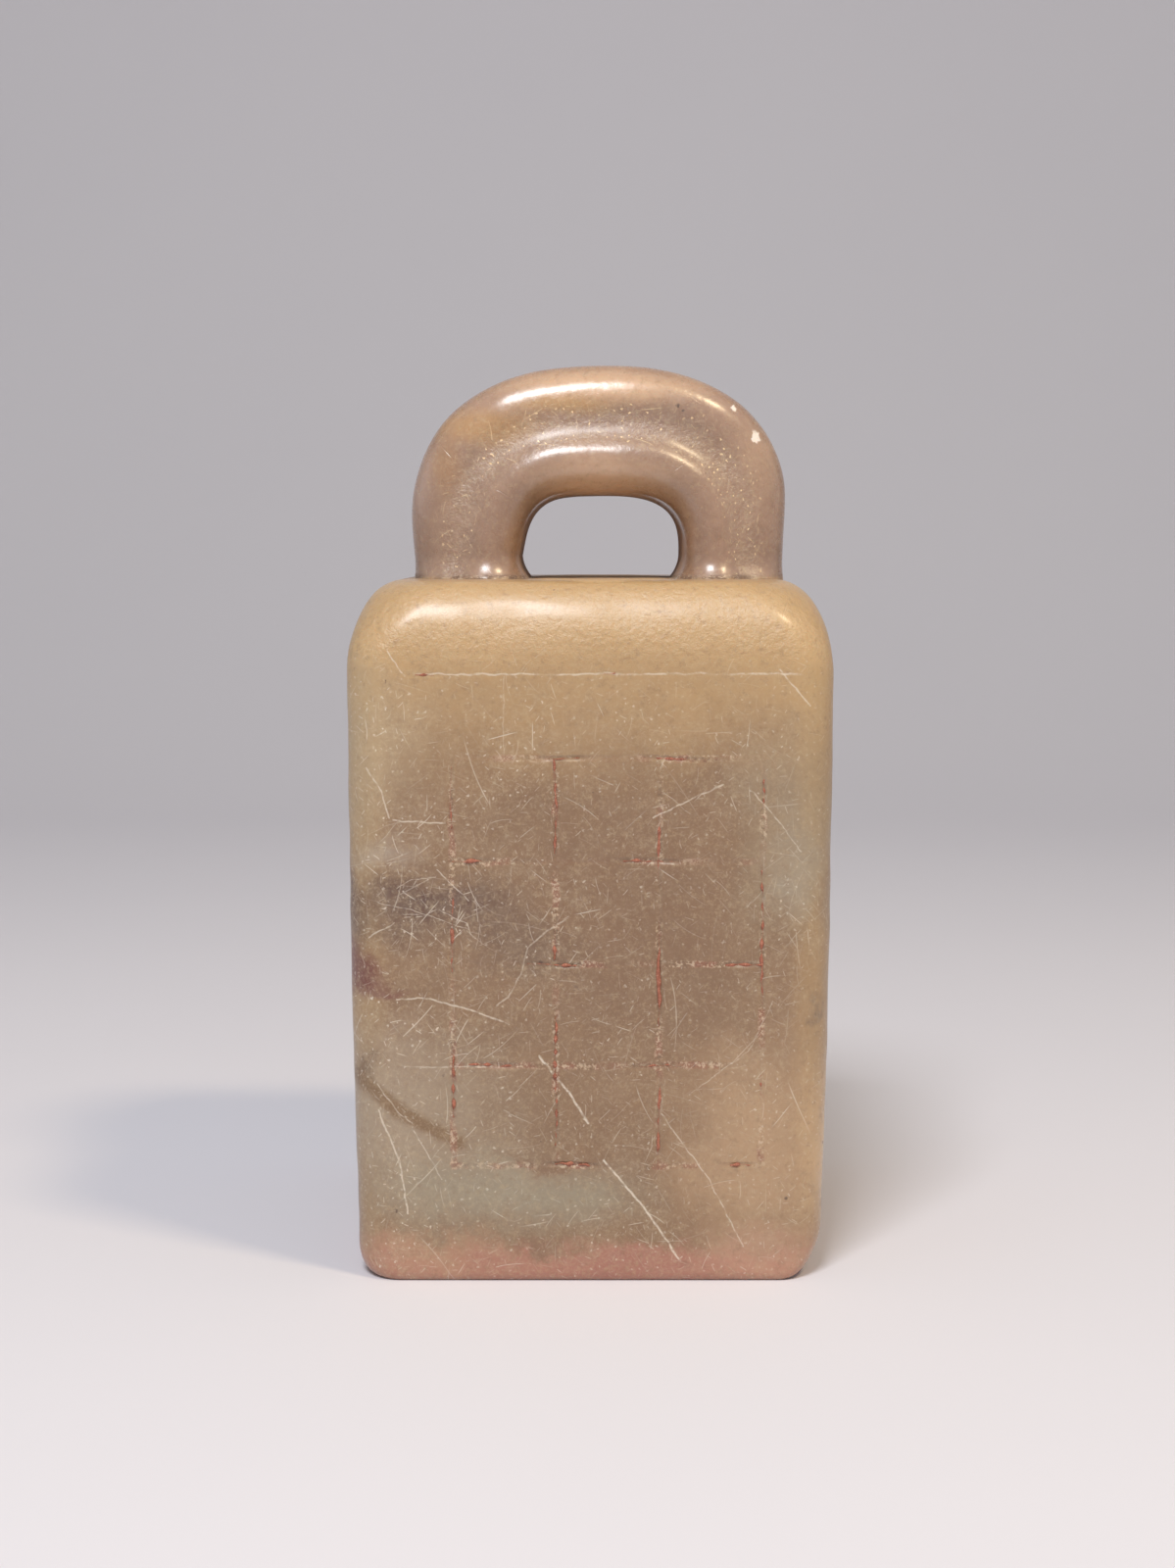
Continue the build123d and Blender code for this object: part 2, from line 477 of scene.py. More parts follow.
@dataclass
class SealBody:
    """The block: a rounded square, slightly narrower at the foot, with soft shoulders and a flat table.

    Attributes:
        half_width: Half of the widest width.
        height: Height of the table.
        panel: The ruled panel on the front.
        foot_run: How far the worn foot edge draws in at the front, right, back and left.
        foot_rise: How high it reaches there.
        plain_row: Height of the lowest even row.
        held_half: Half of the width over which the front's columns keep their place.
        side: How the hand-cut sides stray.
        side_fade: How far below the table their straying starts to fade and has ended.
        corner_from: How far above the shoulder's start the corners begin to widen.
        released: How far above it the front's columns begin to leave their place and have left it.
        table_waver: How far the table strays.
        table_sink: How far the table lies below its rim.
    """

    half_width: float
    height: float
    panel: Panel
    taper: float = 0.4
    taper_power: float = 2.2
    corner_radius: float = 2.2
    shoulder_drop: float = 5.0
    shoulder_run: float = 3.0
    shoulder_power: float = 2.25
    table_corner_radius: float = 3.6
    foot_run: Sides = (0.35, 1.8, 0.6, 0.75)
    foot_rise: Sides = (0.6, 3.0, 1.0, 1.7)
    plain_row: float = 4.5
    held_half: float = 9.0
    side: HandCut = HandCut(0.045, 6.5, 2.3, 0.4, 3)
    side_fade: Point2 = (1.6, 0.2)
    corner_from: float = 0.6
    released: Point2 = (0.9, 3)
    table_waver: float = 0.03
    table_wavelength: float = 3.0
    table_seed: int = 9
    table_sink: float = 0.02

    FRONT_COLUMNS = 78
    PLAIN_COLUMNS = 30
    PLAIN_ROWS = 76
    FOOT_ROWS = 11
    RISE_ROWS = 6
    CORNER_TURNS = np.radians(np.linspace(0, 90, 12)[1:-1])
    SHOULDER_TURNS = np.radians(np.linspace(14, 90, 24))
    FRONT_POWER = 8
    FACING_FRONT = -0.999
    COLUMN_STEPS = (0.06, 0.13, 0.2, 0.34)
    ROW_STEPS = (0.06, 0.12, 0.19, 0.32)
    QUARTER_TURNS = ((1, 0, 0, 1), (0, -1, 1, 0), (-1, 0, 0, -1), (0, 1, -1, 0))
    UNDER_SHARES = np.array([0.12, 0.3, 0.55, 0.78, 0.9])
    TABLE_SHARES = np.array([0.96, 0.88, 0.78, 0.66, 0.5, 0.3, 0.12])

    @property
    def waist(self) -> float:
        """Height at which the shoulder starts."""
        return self.height - self.shoulder_drop

    def widths(self, height: np.ndarray) -> np.ndarray:
        """Gives the half width at each height.

        Below the shoulder it is the widest less the taper's share, a power of the way down. On the
        shoulder it draws in as a superellipse.

        Args:
            height: Heights.

        Returns:
            Half widths.
        """
        drawn = self.taper * np.clip(1 - height / self.waist, 0, 1) ** self.taper_power
        inset = superellipse_inset((height - self.waist) / self.shoulder_drop, self.shoulder_power)
        return self.half_width - drawn - self.shoulder_run * inset

    def by_side(self, shares: Sides, outward: np.ndarray) -> np.ndarray:
        """Blends four sides' values round the corners by the square of the outward direction.

        Args:
            shares: Values of the front, right, back and left.
            outward: Outward directions, X and Y.

        Returns:
            One value for each direction.
        """
        x, y = outward[:, 0], outward[:, 1]
        parts = (np.maximum(-y, 0), np.maximum(x, 0), np.maximum(y, 0), np.maximum(-x, 0))
        return sum(value * part**2 for value, part in zip(shares, parts))

    def columns(self) -> tuple[np.ndarray, np.ndarray]:
        """Lays out the columns round the block, anticlockwise from the front left.

        Returns:
            Each column's anchor, which is the corner centre or the share of a straight side, and its
            outward direction.
        """
        straight = self.half_width - self.corner_radius
        fine = [np.linspace(-straight, straight, self.FRONT_COLUMNS)]
        fine += [rule.place + beside(self.COLUMN_STEPS) for rule in self.panel.rules() if rule.upright]
        front = np.unique(np.round(np.concatenate(fine), 3)) / straight
        plain = np.linspace(-1, 1, self.PLAIN_COLUMNS)
        turn = self.CORNER_TURNS
        anchors, outwards = [], []
        for k, (a, b, c, d) in enumerate(self.QUARTER_TURNS):
            spread = plain if k else front
            anchor = np.concatenate([stacked(spread, -1.0), stacked(np.ones_like(turn), -1.0)])
            flat, bend = stacked(np.zeros_like(spread), -1.0), stacked(np.sin(turn), -np.cos(turn))
            outward = np.concatenate([flat, bend])
            spin = np.array([[a, b], [c, d]], float)
            anchors.append(anchor @ spin.T)
            outwards.append(outward @ spin.T)
        return np.concatenate(anchors), np.concatenate(outwards)

    def heights(self) -> np.ndarray:
        """Lists the rows above the foot, closer together beside the level rules and on the shoulder.

        Returns:
            Heights from the plain row to the table.
        """
        parts = [np.linspace(self.plain_row, self.waist + 1, self.PLAIN_ROWS)]
        parts += [rule.place + beside(self.ROW_STEPS) for rule in self.panel.rules() if not rule.upright]
        rise = np.sin(self.SHOULDER_TURNS) ** (2 / self.shoulder_power)
        parts.append(self.waist + self.shoulder_drop * rise)
        return np.unique(np.round(np.concatenate(parts), 3))

    def foot_rows(self, outward: np.ndarray) -> tuple[np.ndarray, np.ndarray]:
        """Gives the rows of the worn foot: a quarter ellipse on each side, then even rows to the plain row.

        Args:
            outward: The columns' outward directions.

        Returns:
            Heights and insets, rows by columns.
        """
        run, rise = self.by_side(self.foot_run, outward), self.by_side(self.foot_rise, outward)
        turn = np.radians(np.linspace(0, 90, self.FOOT_ROWS))[:, None]
        share = np.linspace(0, 1, self.RISE_ROWS)[1:-1, None]
        height = np.concatenate([rise * (1 - np.cos(turn)), rise + (self.plain_row - rise) * share])
        inset = np.concatenate([run * (1 - np.sin(turn)), np.zeros((len(share), len(run)))])
        return height, inset

    def shell(self) -> Shell:
        """Builds the block, with the grooves of the rules sunk into the front.

        A place is the anchor times the straight half length, plus the outward direction times the
        corner radius. The front's columns keep their place as the block narrows, so that a rule is
        upright, and shift with the rules' waver.

        Returns:
            The closed shell, with its girth and its height as the map.
        """
        anchor, outward = self.columns()
        foot_height, inset = self.foot_rows(outward)
        upper = np.repeat(self.heights()[:, None], len(anchor), 1)
        height = np.concatenate([foot_height, upper])
        inset = np.concatenate([inset, np.zeros_like(upper)])
        turned = ease(self.waist + self.corner_from, self.height, height)
        radius = self.corner_radius + (self.table_corner_radius - self.corner_radius) * turned
        straight = self.widths(height) - inset - radius
        free_x = anchor[:, 0] * straight + radius * outward[:, 0]
        x = self.held(anchor[:, 0], straight, height, outward, free_x)
        y = anchor[:, 1] * straight + radius * outward[:, 1]
        cut, shift_x, shift_z = np.zeros_like(x), np.zeros_like(x), np.zeros_like(x)
        for rule in self.panel.rules():
            across, along = (x, height) if rule.upright else (height, x)
            cut = np.maximum(cut, rule.cut(across, along, self.panel.half_width))
            shift = shift_x if rule.upright else shift_z
            shift += rule.pull(across, along)
        front = np.clip(-outward[:, 1], 0, 1) ** self.FRONT_POWER
        places = stacked(x + shift_x * front, y, height + shift_z * front)
        on_side = 1 - ease(self.height - self.side_fade[0], self.height - self.side_fade[1], height)
        push = self.side.off(places) * on_side * ease(0, 1.0, height) - cut * front
        places[..., 0] += push * outward[:, 0]
        places[..., 1] += push * outward[:, 1]
        under = places[0] * stacked(self.UNDER_SHARES, self.UNDER_SHARES, 1.0)[:, None, :]
        table = places[-1] * stacked(self.TABLE_SHARES, self.TABLE_SHARES, 1.0)[:, None, :]
        waver = self.table_waver * ripple(table, self.table_wavelength, self.table_seed)
        table[..., 2] += waver * (1 - self.TABLE_SHARES[:, None]) - self.table_sink
        places = np.concatenate([under, places, table])
        girth = run_length(places[len(places) // 2], closed=True)
        return capped(places, stacked(girth[None, :], run_length(places[:, 0])[:, None]))

    def held(
        self, anchor: np.ndarray, straight: np.ndarray, height: np.ndarray, outward: np.ndarray, x: np.ndarray
    ) -> np.ndarray:
        """Keeps the front's columns in place below the shoulder, with the rest squeezed outside them.

        Args:
            anchor: The columns' shares of the straight side.
            straight: The straight half length at each place.
            height: The height of each place.
            outward: The columns' outward directions.
            x: X of each place before it is held.

        Returns:
            X of each place.
        """
        full = self.half_width - self.corner_radius
        wanted = anchor * full
        over = np.abs(wanted) - self.held_half
        squeezed = self.held_half + over * (straight - self.held_half) / (full - self.held_half)
        kept = np.where(over < 0, wanted, np.sign(wanted) * squeezed)
        free = ease(self.waist + self.released[0], self.waist + self.released[1], height)
        on_front = (outward[:, 1] < self.FACING_FRONT)[None, :]
        return np.where(on_front, kept * (1 - free) + x * free, x)


@dataclass
class ArchKnob:
    """The loop knob: two rolls with a rough band between them, carried along an arch.

    Attributes:
        base: Height of the table that it stands on.
        crown: Height of its crown above the table.
    """

    base: float
    crown: float
    offset: float = 0.48
    half_width: float = 10.2
    widest_height: float = 3.5
    left_power: float = 2.2
    right_power: float = 2.4
    neck: float = 0.18
    eye_offset: float = 0.62
    eye_half_width: float = 4.42
    eye_height: float = 4.56
    eye_widest_height: float = 1.2
    eye_left_power: float = 3.8
    eye_right_power: float = 3.1
    eye_lean: float = 0.2
    eye_hollow: float = 0.12
    inner_half_depth: float = 5.4
    outer_half_depth: float = 4.4
    inner_roll: float = 1.65
    outer_roll: float = 2.05
    groove_radius: float = 2.0
    leg_groove: float = 0.45
    root: float = 0.45
    outer_bulge: float = 0.07
    flare: float = 0.55
    flare_height: float = 1.25
    outer_grip: float = 0.75
    skin: HandCut = HandCut(0.05, 5.0, 1.9, 0.12, 31)
    arc_points: int = 18

    MAP_START = 200.0
    ARCH_STATIONS = 171
    LEG_STATIONS = 16
    EYE_WALL_SHARES = np.linspace(-1, 1, 12)[1:-1]
    OUTER_WALL_SHARES = np.linspace(1, -1, 9)[1:-1]
    GROOVE_FROM = -0.5
    GROOVE_RISE = 3.0
    GRIP_FROM = (0.3, 0.95)
    NECK_LIMIT = 1.1
    LEAST_SQUARE = 0.01

    def arch(self, half: float, rise: float, lift: float, left: float, right: float) -> np.ndarray:
        """Gives an arch's line from the right foot over the crown to the left foot.

        The legs rise from the root to the lift, and above it the line is a superellipse: the half width
        times the cosine's power and the rise times the sine's, the power being two over the side's own.

        Args:
            half: Half width.
            rise: Height of the superellipse.
            lift: Height of its centre.
            left: Power of its left half.
            right: Power of its right half.

        Returns:
            Stations by X and Z.
        """
        turn = np.radians(np.linspace(0, 180, self.ARCH_STATIONS))
        power = np.where(turn <= pi / 2, right, left)
        x = half * np.sign(np.cos(turn)) * np.abs(np.cos(turn)) ** (2 / power)
        z = lift + rise * np.abs(np.sin(turn)) ** (2 / power)
        leg = np.linspace(-self.root, lift, self.LEG_STATIONS)[:-1]
        x = np.concatenate([np.full_like(leg, half), x, np.full_like(leg, -half)])
        return stacked(x, np.concatenate([leg, z, leg[::-1]]))

    def section(self, thickness: np.ndarray, groove: np.ndarray) -> tuple[np.ndarray, np.ndarray]:
        """Gives the section at each station, from its inner edge round by the front and the back.

        Two roll circles are joined by a groove circle that touches both. Between the places where one
        straight line would touch both rolls, the groove is kept by its share of the depth under that line.

        Args:
            thickness: The knob's thickness at each station.
            groove: The groove's share at each station.

        Returns:
            Places through the thickness and across the depth, stations by points.
        """
        flat = np.zeros_like(thickness)
        inner = stacked(flat + self.inner_roll, self.inner_half_depth - self.inner_roll)
        outer = stacked(thickness - self.outer_roll, self.outer_half_depth - self.outer_roll)
        reach = outer - inner
        span = np.hypot(reach[:, 0], reach[:, 1])
        unit = reach / span[:, None]
        side = stacked(-unit[:, 1], unit[:, 0])
        to_inner, to_outer = self.groove_radius + self.inner_roll, self.groove_radius + self.outer_roll
        along = (span**2 + to_inner**2 - to_outer**2) / (2 * span)
        height = np.sqrt(np.maximum(to_inner**2 - along**2, self.LEAST_SQUARE))
        hollow = inner + unit * along[:, None] + side * height[:, None]
        touch_inner = np.arctan2(*(hollow - inner).T[::-1])
        touch_outer = np.arctan2(*(hollow - outer).T[::-1])
        share = np.linspace(0, 1, self.arc_points)

        def arc(centre: np.ndarray, radius: float, start: np.ndarray, end: np.ndarray) -> np.ndarray:
            """Gives an arc's places: its centre plus the radius times the cosine and sine of each angle."""
            angle = start[:, None] + (end - start)[:, None] * share
            return centre[:, None, :] + radius * stacked(np.cos(angle), np.sin(angle))

        rolls = [
            arc(inner, self.inner_roll, flat + pi, touch_inner),
            arc(hollow, self.groove_radius, touch_inner - pi, touch_outer - pi)[:, 1:-1],
            arc(outer, self.outer_roll, touch_outer, flat),
        ]
        half = np.concatenate(rolls, 1)
        lean = (self.inner_roll - self.outer_roll) / span
        normal = unit * lean[:, None] + side * np.sqrt(1 - lean**2)[:, None]
        start, end = inner + self.inner_roll * normal, outer + self.outer_roll * normal
        over = (half[..., 0] - start[:, :1]) / (end[:, :1] - start[:, :1])
        line = start[:, 1:] + (end[:, 1:] - start[:, 1:]) * over
        filled = line - groove[:, None] * (line - half[..., 1])
        half[..., 1] = np.where((over > 0) & (over < 1), filled, half[..., 1])
        inner_edge, outer_edge = self.EYE_WALL_SHARES, self.OUTER_WALL_SHARES
        inner_wall = stacked(-self.eye_hollow * (1 - inner_edge**2), inner[:, 1:] * inner_edge)
        bulge = self.outer_bulge * (1 - outer_edge**2)
        outer_wall = stacked(thickness[:, None] + bulge, outer[:, 1:] * outer_edge)
        whole = np.concatenate([half, outer_wall, half[:, ::-1] * np.array([1, -1]), inner_wall], 1)
        return whole[..., 0], whole[..., 1]

    def lines(self) -> tuple[np.ndarray, np.ndarray]:
        """Gives the inner and outer lines of the arch: the neck is drawn in, and the eye's left wall leans.

        Returns:
            Both lines, stations by X and Z.
        """
        rise = self.crown + self.skin.depth - self.widest_height - self.outer_bulge
        outer = self.arch(self.half_width, rise, self.widest_height, self.left_power, self.right_power)
        eye, lift = self.eye_half_width, self.eye_widest_height
        inner = self.arch(eye, self.eye_height - lift, lift, self.eye_left_power, self.eye_right_power)
        low = np.clip(1 - outer[:, 1] / self.widest_height, 0, self.NECK_LIMIT)
        outer[:, 0] = outer[:, 0] - np.sign(outer[:, 0]) * self.neck * low**2 + self.offset
        inner[:, 0] += self.eye_lean * np.maximum(inner[:, 1] - lift, 0) * np.maximum(-inner[:, 0] / eye, 0)
        inner[:, 0] += self.eye_offset
        return inner, outer

    def shell(self, rim: SealBody) -> Shell:
        """Builds the knob, its feet flared and sunk a little into the block.

        A section's place is the inner line's point plus the place through the thickness along the line
        to the outer point. Near the table each place moves out along the section's own normal, by the
        square of the share of the flare's height that is left.

        Args:
            rim: The block that it stands on.

        Returns:
            The closed shell.
        """
        inner, outer = self.lines()
        reach = outer - inner
        thickness = np.hypot(reach[:, 0], reach[:, 1])
        unit = reach / thickness[:, None]
        crown_share = ease(self.GROOVE_FROM, self.widest_height + self.GROOVE_RISE, outer[:, 1])
        through, depth = self.section(thickness, self.leg_groove + (1 - self.leg_groove) * crown_share)
        turn_t = np.roll(through, -1, 1) - np.roll(through, 1, 1)
        turn_y = np.roll(depth, -1, 1) - np.roll(depth, 1, 1)
        size = np.maximum(np.hypot(turn_t, turn_y), 1e-6)
        normal_t, normal_y = -turn_y / size, turn_t / size
        outwards = np.sign((normal_y * depth).sum(1))[:, None]
        normal_t, normal_y = normal_t * outwards, normal_y * outwards
        x, height = (inner[:, k : k + 1] + through * unit[:, k : k + 1] for k in (0, 1))
        drop = self.base - self.table_height(rim, x, depth)
        left_over = np.clip(1 - (height + drop) / self.flare_height, 0, 1)
        swell = self.flare * left_over**2 * (1 - self.outer_grip * ease(*self.GRIP_FROM, normal_t))
        through, depth = through + swell * normal_t, depth + swell * normal_y
        places = stacked(inner[:, :1] + through * unit[:, :1], depth, inner[:, 1:] + through * unit[:, 1:])
        uneven = self.skin.off(places)
        places[..., 0] += uneven * normal_t * unit[:, :1]
        places[..., 1] += uneven * normal_y
        places[..., 2] += uneven * normal_t * unit[:, 1:] + self.base
        return self.closed(places)

    def table_height(self, rim: SealBody, x: np.ndarray, y: np.ndarray) -> np.ndarray:
        """Gives the block's own height under the knob, lower where a foot overhangs the shoulder.

        Args:
            rim: The block.
            x: Places across.
            y: Places in depth.

        Returns:
            Heights.
        """
        table_half = rim.half_width - rim.shoulder_run
        beyond = np.maximum(np.maximum(np.abs(x), np.abs(y)) - table_half, 0) / rim.shoulder_run
        return rim.height - rim.shoulder_drop * superellipse_inset(beyond, rim.shoulder_power)

    def closed(self, places: np.ndarray) -> Shell:
        """Closes the knob's grid, with its length along the arch and its girth as the map.

        Args:
            places: Stations by points by 3.

        Returns:
            The closed shell, whose second map coordinate is the distance round from the rough band.
        """
        girth = run_length(places[len(places) // 2], closed=True)
        band = girth[self.arc_points + self.arc_points // 2 - 1]
        eye_wall = 2 * (self.inner_half_depth - self.inner_roll)
        from_band = np.minimum(np.abs(girth - band), np.abs(girth - (girth[-1] - eye_wall - band)))
        along = run_length(places.mean(1))
        return capped(places, stacked(self.MAP_START + along[:, None], from_band[None, :]))


@dataclass
class CarvedFace:
    """The printing face: a border and four square spirals, left standing as the ground is cut away.

    Attributes:
        depth: How deep the ground lies.
        field_width: Width inside the border.
        stroke: Width of a stroke.
        wall: How far a wall of the carving leans out.
        chatter: How far the knife strayed.
        strays: Ripples of the knife's straying, as shares of the chatter.
        marks: Knife marks on the ground.
        mark_stretch: How much slower the marks change along each axis.
        mean_cover: Share of the paste's thickness that is there on average.
        lumps: Ripples of that share.
        least_cover: Least share of the paste's thickness that counts as paste.
        spiral: One spiral, in shares of a quarter of the field.
    """

    depth: float
    field_width: float = 20.4
    stroke: float = 1.1
    wall: float = 0.2
    chatter: float = 0.05
    strays: tuple[Ripple, ...] = (Ripple(1.0, 2.1, 41), Ripple(0.7, 0.8, 42))
    marks: Ripple = Ripple(0.07, 1.3, 44)
    mark_stretch: Point3 = (1, 0.35, 1)
    mean_cover: float = 0.62
    lumps: tuple[Ripple, ...] = (Ripple(0.3, 1.7, 51), Ripple(0.2, 0.7, 52))
    least_cover: float = 0.05
    spiral: tuple[Point2, ...] = (
        (-0.1, 0.78),
        (0.87, 0.78),
        (0.87, 0.13),
        (0.24, 0.13),
        (0.24, 0.5),
        (0.62, 0.5),
        (0.62, 0.36),
    )

    BELOW = -1.0
    WALL_FROM = -0.02
    MARGIN = 0.35
    SUNK = 0.1
    CUT_STEP = 0.16
    PASTE_STEP = 0.2
    PASTE_EDGE = 0.3
    PASTE_LAP = 0.02

    def clearance(self, x: np.ndarray, y: np.ndarray) -> np.ndarray:
        """Gives how far each place of the face lies from the nearest stroke or the border.

        One quarter is measured and the others are its mirror images. The distance to a stroke is the
        distance to its straight runs less half of its width.

        Args:
            x: Places across.
            y: Places in depth.

        Returns:
            Distances, less than zero on what stands.
        """
        half = self.field_width / 2
        px, py = -np.abs(x), np.abs(y)
        nearest = np.full(x.shape, np.inf)
        points = [(half * (a - 1), half * b) for a, b in self.spiral]
        for (ax, ay), (bx, by) in zip(points, points[1:]):
            length = hypot(bx - ax, by - ay)
            ux, uy = (bx - ax) / length, (by - ay) / length
            along = np.clip((px - ax) * ux + (py - ay) * uy, 0, length)
            nearest = np.minimum(nearest, np.hypot(px - ax - along * ux, py - ay - along * uy))
        border = half - np.maximum(np.abs(x), np.abs(y))
        flat = stacked(x, y, 0.0)
        hand = self.chatter * sum(stray.over(flat) for stray in self.strays)
        return np.minimum(nearest - self.stroke / 2, border) + hand

    def grid(self, step: float) -> tuple[np.ndarray, np.ndarray]:
        """Gives a square grid that covers the field and a little of the border.

        Args:
            step: About how far its places are apart.

        Returns:
            X and Y of its places.
        """
        half = self.field_width / 2 + self.MARGIN
        line = np.linspace(-half, half, int(2 * half / step))
        return np.meshgrid(line, line, indexing="ij")

    def ground(self, x: np.ndarray, y: np.ndarray) -> np.ndarray:
        """Gives the ground's height: it climbs a steep wall from below the face to a floor with knife marks.

        Args:
            x: Places across.
            y: Places in depth.

        Returns:
            Heights.
        """
        rise = ease(self.WALL_FROM, self.wall, self.clearance(x, y))
        marks = self.marks.over(stacked(x, y, 0.0) * np.array(self.mark_stretch))
        return rise * (self.depth + marks + self.SUNK) - self.SUNK

    def cutter(self) -> Shell:
        """Builds the solid that the carving takes away: a floor below the face under the ground's surface."""
        x, y = self.grid(self.CUT_STEP)
        return self.slab(stacked(x, y, self.ground(x, y)), stacked(x, y, self.BELOW), np.ones(x.shape, bool))

    def slab(self, upper: np.ndarray, lower: np.ndarray, apart: np.ndarray) -> Shell:
        """Closes two sheets over one grid, which share their places where they aren't apart.

        Args:
            upper: The upper sheet's places.
            lower: The lower sheet's places.
            apart: Where the two sheets are apart.

        Returns:
            The closed shell, with no face where all four corners are shared.
        """
        rows, columns = upper.shape[:2]
        number = np.arange(rows * columns).reshape(rows, columns)
        below = np.where(apart, number + rows * columns, number).ravel()
        sheet = woven(upper, upper[..., :2], False)
        under = below[sheet.quads]
        thick = (under != sheet.quads).any(1)
        rim = np.concatenate([number[0, :-1], number[:-1, -1], number[-1, :0:-1], number[:0:-1, 0]])
        after = np.roll(rim, -1)
        walls = np.stack([after, rim, below[rim], below[after]], 1)
        walls = walls[apart.ravel()[rim] & apart.ravel()[after]]
        quads = np.concatenate([sheet.quads[thick], under[thick][:, ::-1], walls])
        flat_map = np.concatenate([upper[..., :2].reshape(-1, 2)] * 2)
        places = np.concatenate([upper.reshape(-1, 3), lower.reshape(-1, 3)])
        used, renumbered = np.unique(quads, return_inverse=True)
        quads = renumbered.reshape(quads.shape)
        return Shell(places[used], quads, flat_map[used][quads])

    def paste(self, thickness: float) -> Shell:
        """Builds the dried paste: a lumpy layer on the ground, thin at the walls and bare in places.

        Args:
            thickness: Greatest thickness.

        Returns:
            The closed shell.
        """
        x, y = self.grid(self.PASTE_STEP)
        flat = stacked(x, y, 0.0)
        lumps = sum((part.over(flat) for part in self.lumps), self.mean_cover)
        cover = ease(self.wall, self.wall + self.PASTE_EDGE, self.clearance(x, y)) * np.clip(lumps, 0, 1)
        cover[:2], cover[-2:], cover[:, :2], cover[:, -2:] = 0, 0, 0, 0
        top = self.depth + self.PASTE_LAP
        lower = stacked(x, y, top - thickness * np.maximum(cover, self.least_cover))
        return self.slab(stacked(x, y, top), lower, self.loosened(cover > self.least_cover))

    def loosened(self, apart: np.ndarray) -> np.ndarray:
        """Parts the sheets also along each grid edge that would otherwise carry four faces.

        An edge does so where both its ends are shared and the sheets are apart on both sides of it.

        Args:
            apart: Where the two sheets are apart.

        Returns:
            The same with those ends added, found in a few rounds.
        """
        apart = apart.copy()
        for _ in range(4):
            thick = apart[:-1, :-1] | apart[1:, :-1] | apart[:-1, 1:] | apart[1:, 1:]
            level = ~apart[1:-1, :-1] & ~apart[1:-1, 1:] & thick[:-1] & thick[1:]
            upright = ~apart[:-1, 1:-1] & ~apart[1:, 1:-1] & thick[:, :-1] & thick[:, 1:]
            apart[1:-1, :-1] |= level
            apart[1:-1, 1:] |= level
            apart[:-1, 1:-1] |= upright
            apart[1:, 1:-1] |= upright
        return apart


@dataclass
class PigmentRemains:
    """Crusts of red pigment that are left in the engraved rules.

    Attributes:
        body: The block that they are in.
        half_width: Half of a crust's width.
        half_height: Half of its height.
        sway: How far it strays from the groove's middle.
        set_back: How far the block's hand-cut front lies behind its true one.
        proud: How far a crust's middle stands before the groove's floor.
        step: How far its rings are apart.
        sides: Sides of a ring.
    """

    body: SealBody
    half_width: float = 0.1
    half_height: float = 0.045
    sway: float = 0.03
    set_back: float = 0.05
    proud: float = 0.01
    step: float = 0.07
    sides: int = 8

    TIPS = (0.015, 0.985)
    TIP_POWER = 0.7
    MEAN_BULK = 0.3
    BULK_SHARE = 0.85
    BULK_LIMITS = (0.06, 1.15)
    BULK_LENGTH = 0.55
    SWAY_LENGTH = 0.6
    GRAIN_SHARE = 0.3
    GRAIN_LENGTH = 0.35

    def crust(self, rule: Rule, start: float, end: float, seed: int) -> Shell:
        """Builds one crust: an uneven flat tube that follows the groove's floor and thins at both ends.

        A place is the floor's line plus an ellipse across it, whose half width and half height vary along
        the crust as the square root of a half sine times an uneven share.

        Args:
            rule: The rule that it lies in.
            start: Where it starts along the rule.
            end: Where it ends.
            seed: Seed of its unevenness.

        Returns:
            The closed shell.
        """
        count = max(int((end - start) / self.step), 6)
        along = np.linspace(start, end, count)
        ends = np.sqrt(np.sin(pi * np.clip(np.linspace(0, 1, count), *self.TIPS))) ** self.TIP_POWER
        uneven = self.MEAN_BULK + self.BULK_SHARE * wander(along, self.BULK_LENGTH, seed)
        bulk = ends * np.clip(uneven, *self.BULK_LIMITS)
        floor = rule.cut(np.array([rule.place]), along, self.body.panel.half_width)
        sway = rule.waver(along) + self.sway * wander(along, self.SWAY_LENGTH, seed + 1)
        turn = np.linspace(0, 2 * pi, self.sides, endpoint=False)
        across = rule.place + sway[:, None] + self.half_width * bulk[:, None] * np.cos(turn)
        grain = 1 + self.GRAIN_SHARE * wander(along, self.GRAIN_LENGTH, seed + 2, waves=9)
        swell = self.half_height * (bulk * grain)[:, None] * np.sin(turn)
        lengthways = np.repeat(along[:, None], self.sides, 1)
        x, height = (across, lengthways) if rule.upright else (lengthways, across)
        front = -self.body.widths(height) + self.set_back
        places = stacked(x, front + floor[:, None] - self.proud + swell, height)
        round_share = np.linspace(0, 1, self.sides + 1)
        return capped(places, stacked(along[:, None], round_share[None, :])).facing_out()

    def shell(self) -> Shell:
        """Builds all the crusts.

        Returns:
            One set of closed shells.
        """
        return Shell.merged([
            self.crust(rule, start, end, rule.seed * 10 + k)
            for rule in self.body.panel.rules()
            for k, (start, end) in enumerate(rule.stretches())
        ])


class Cut(Enum):
    """How a second shell changes the first."""

    JOIN = "UNION"
    CARVE = "DIFFERENCE"


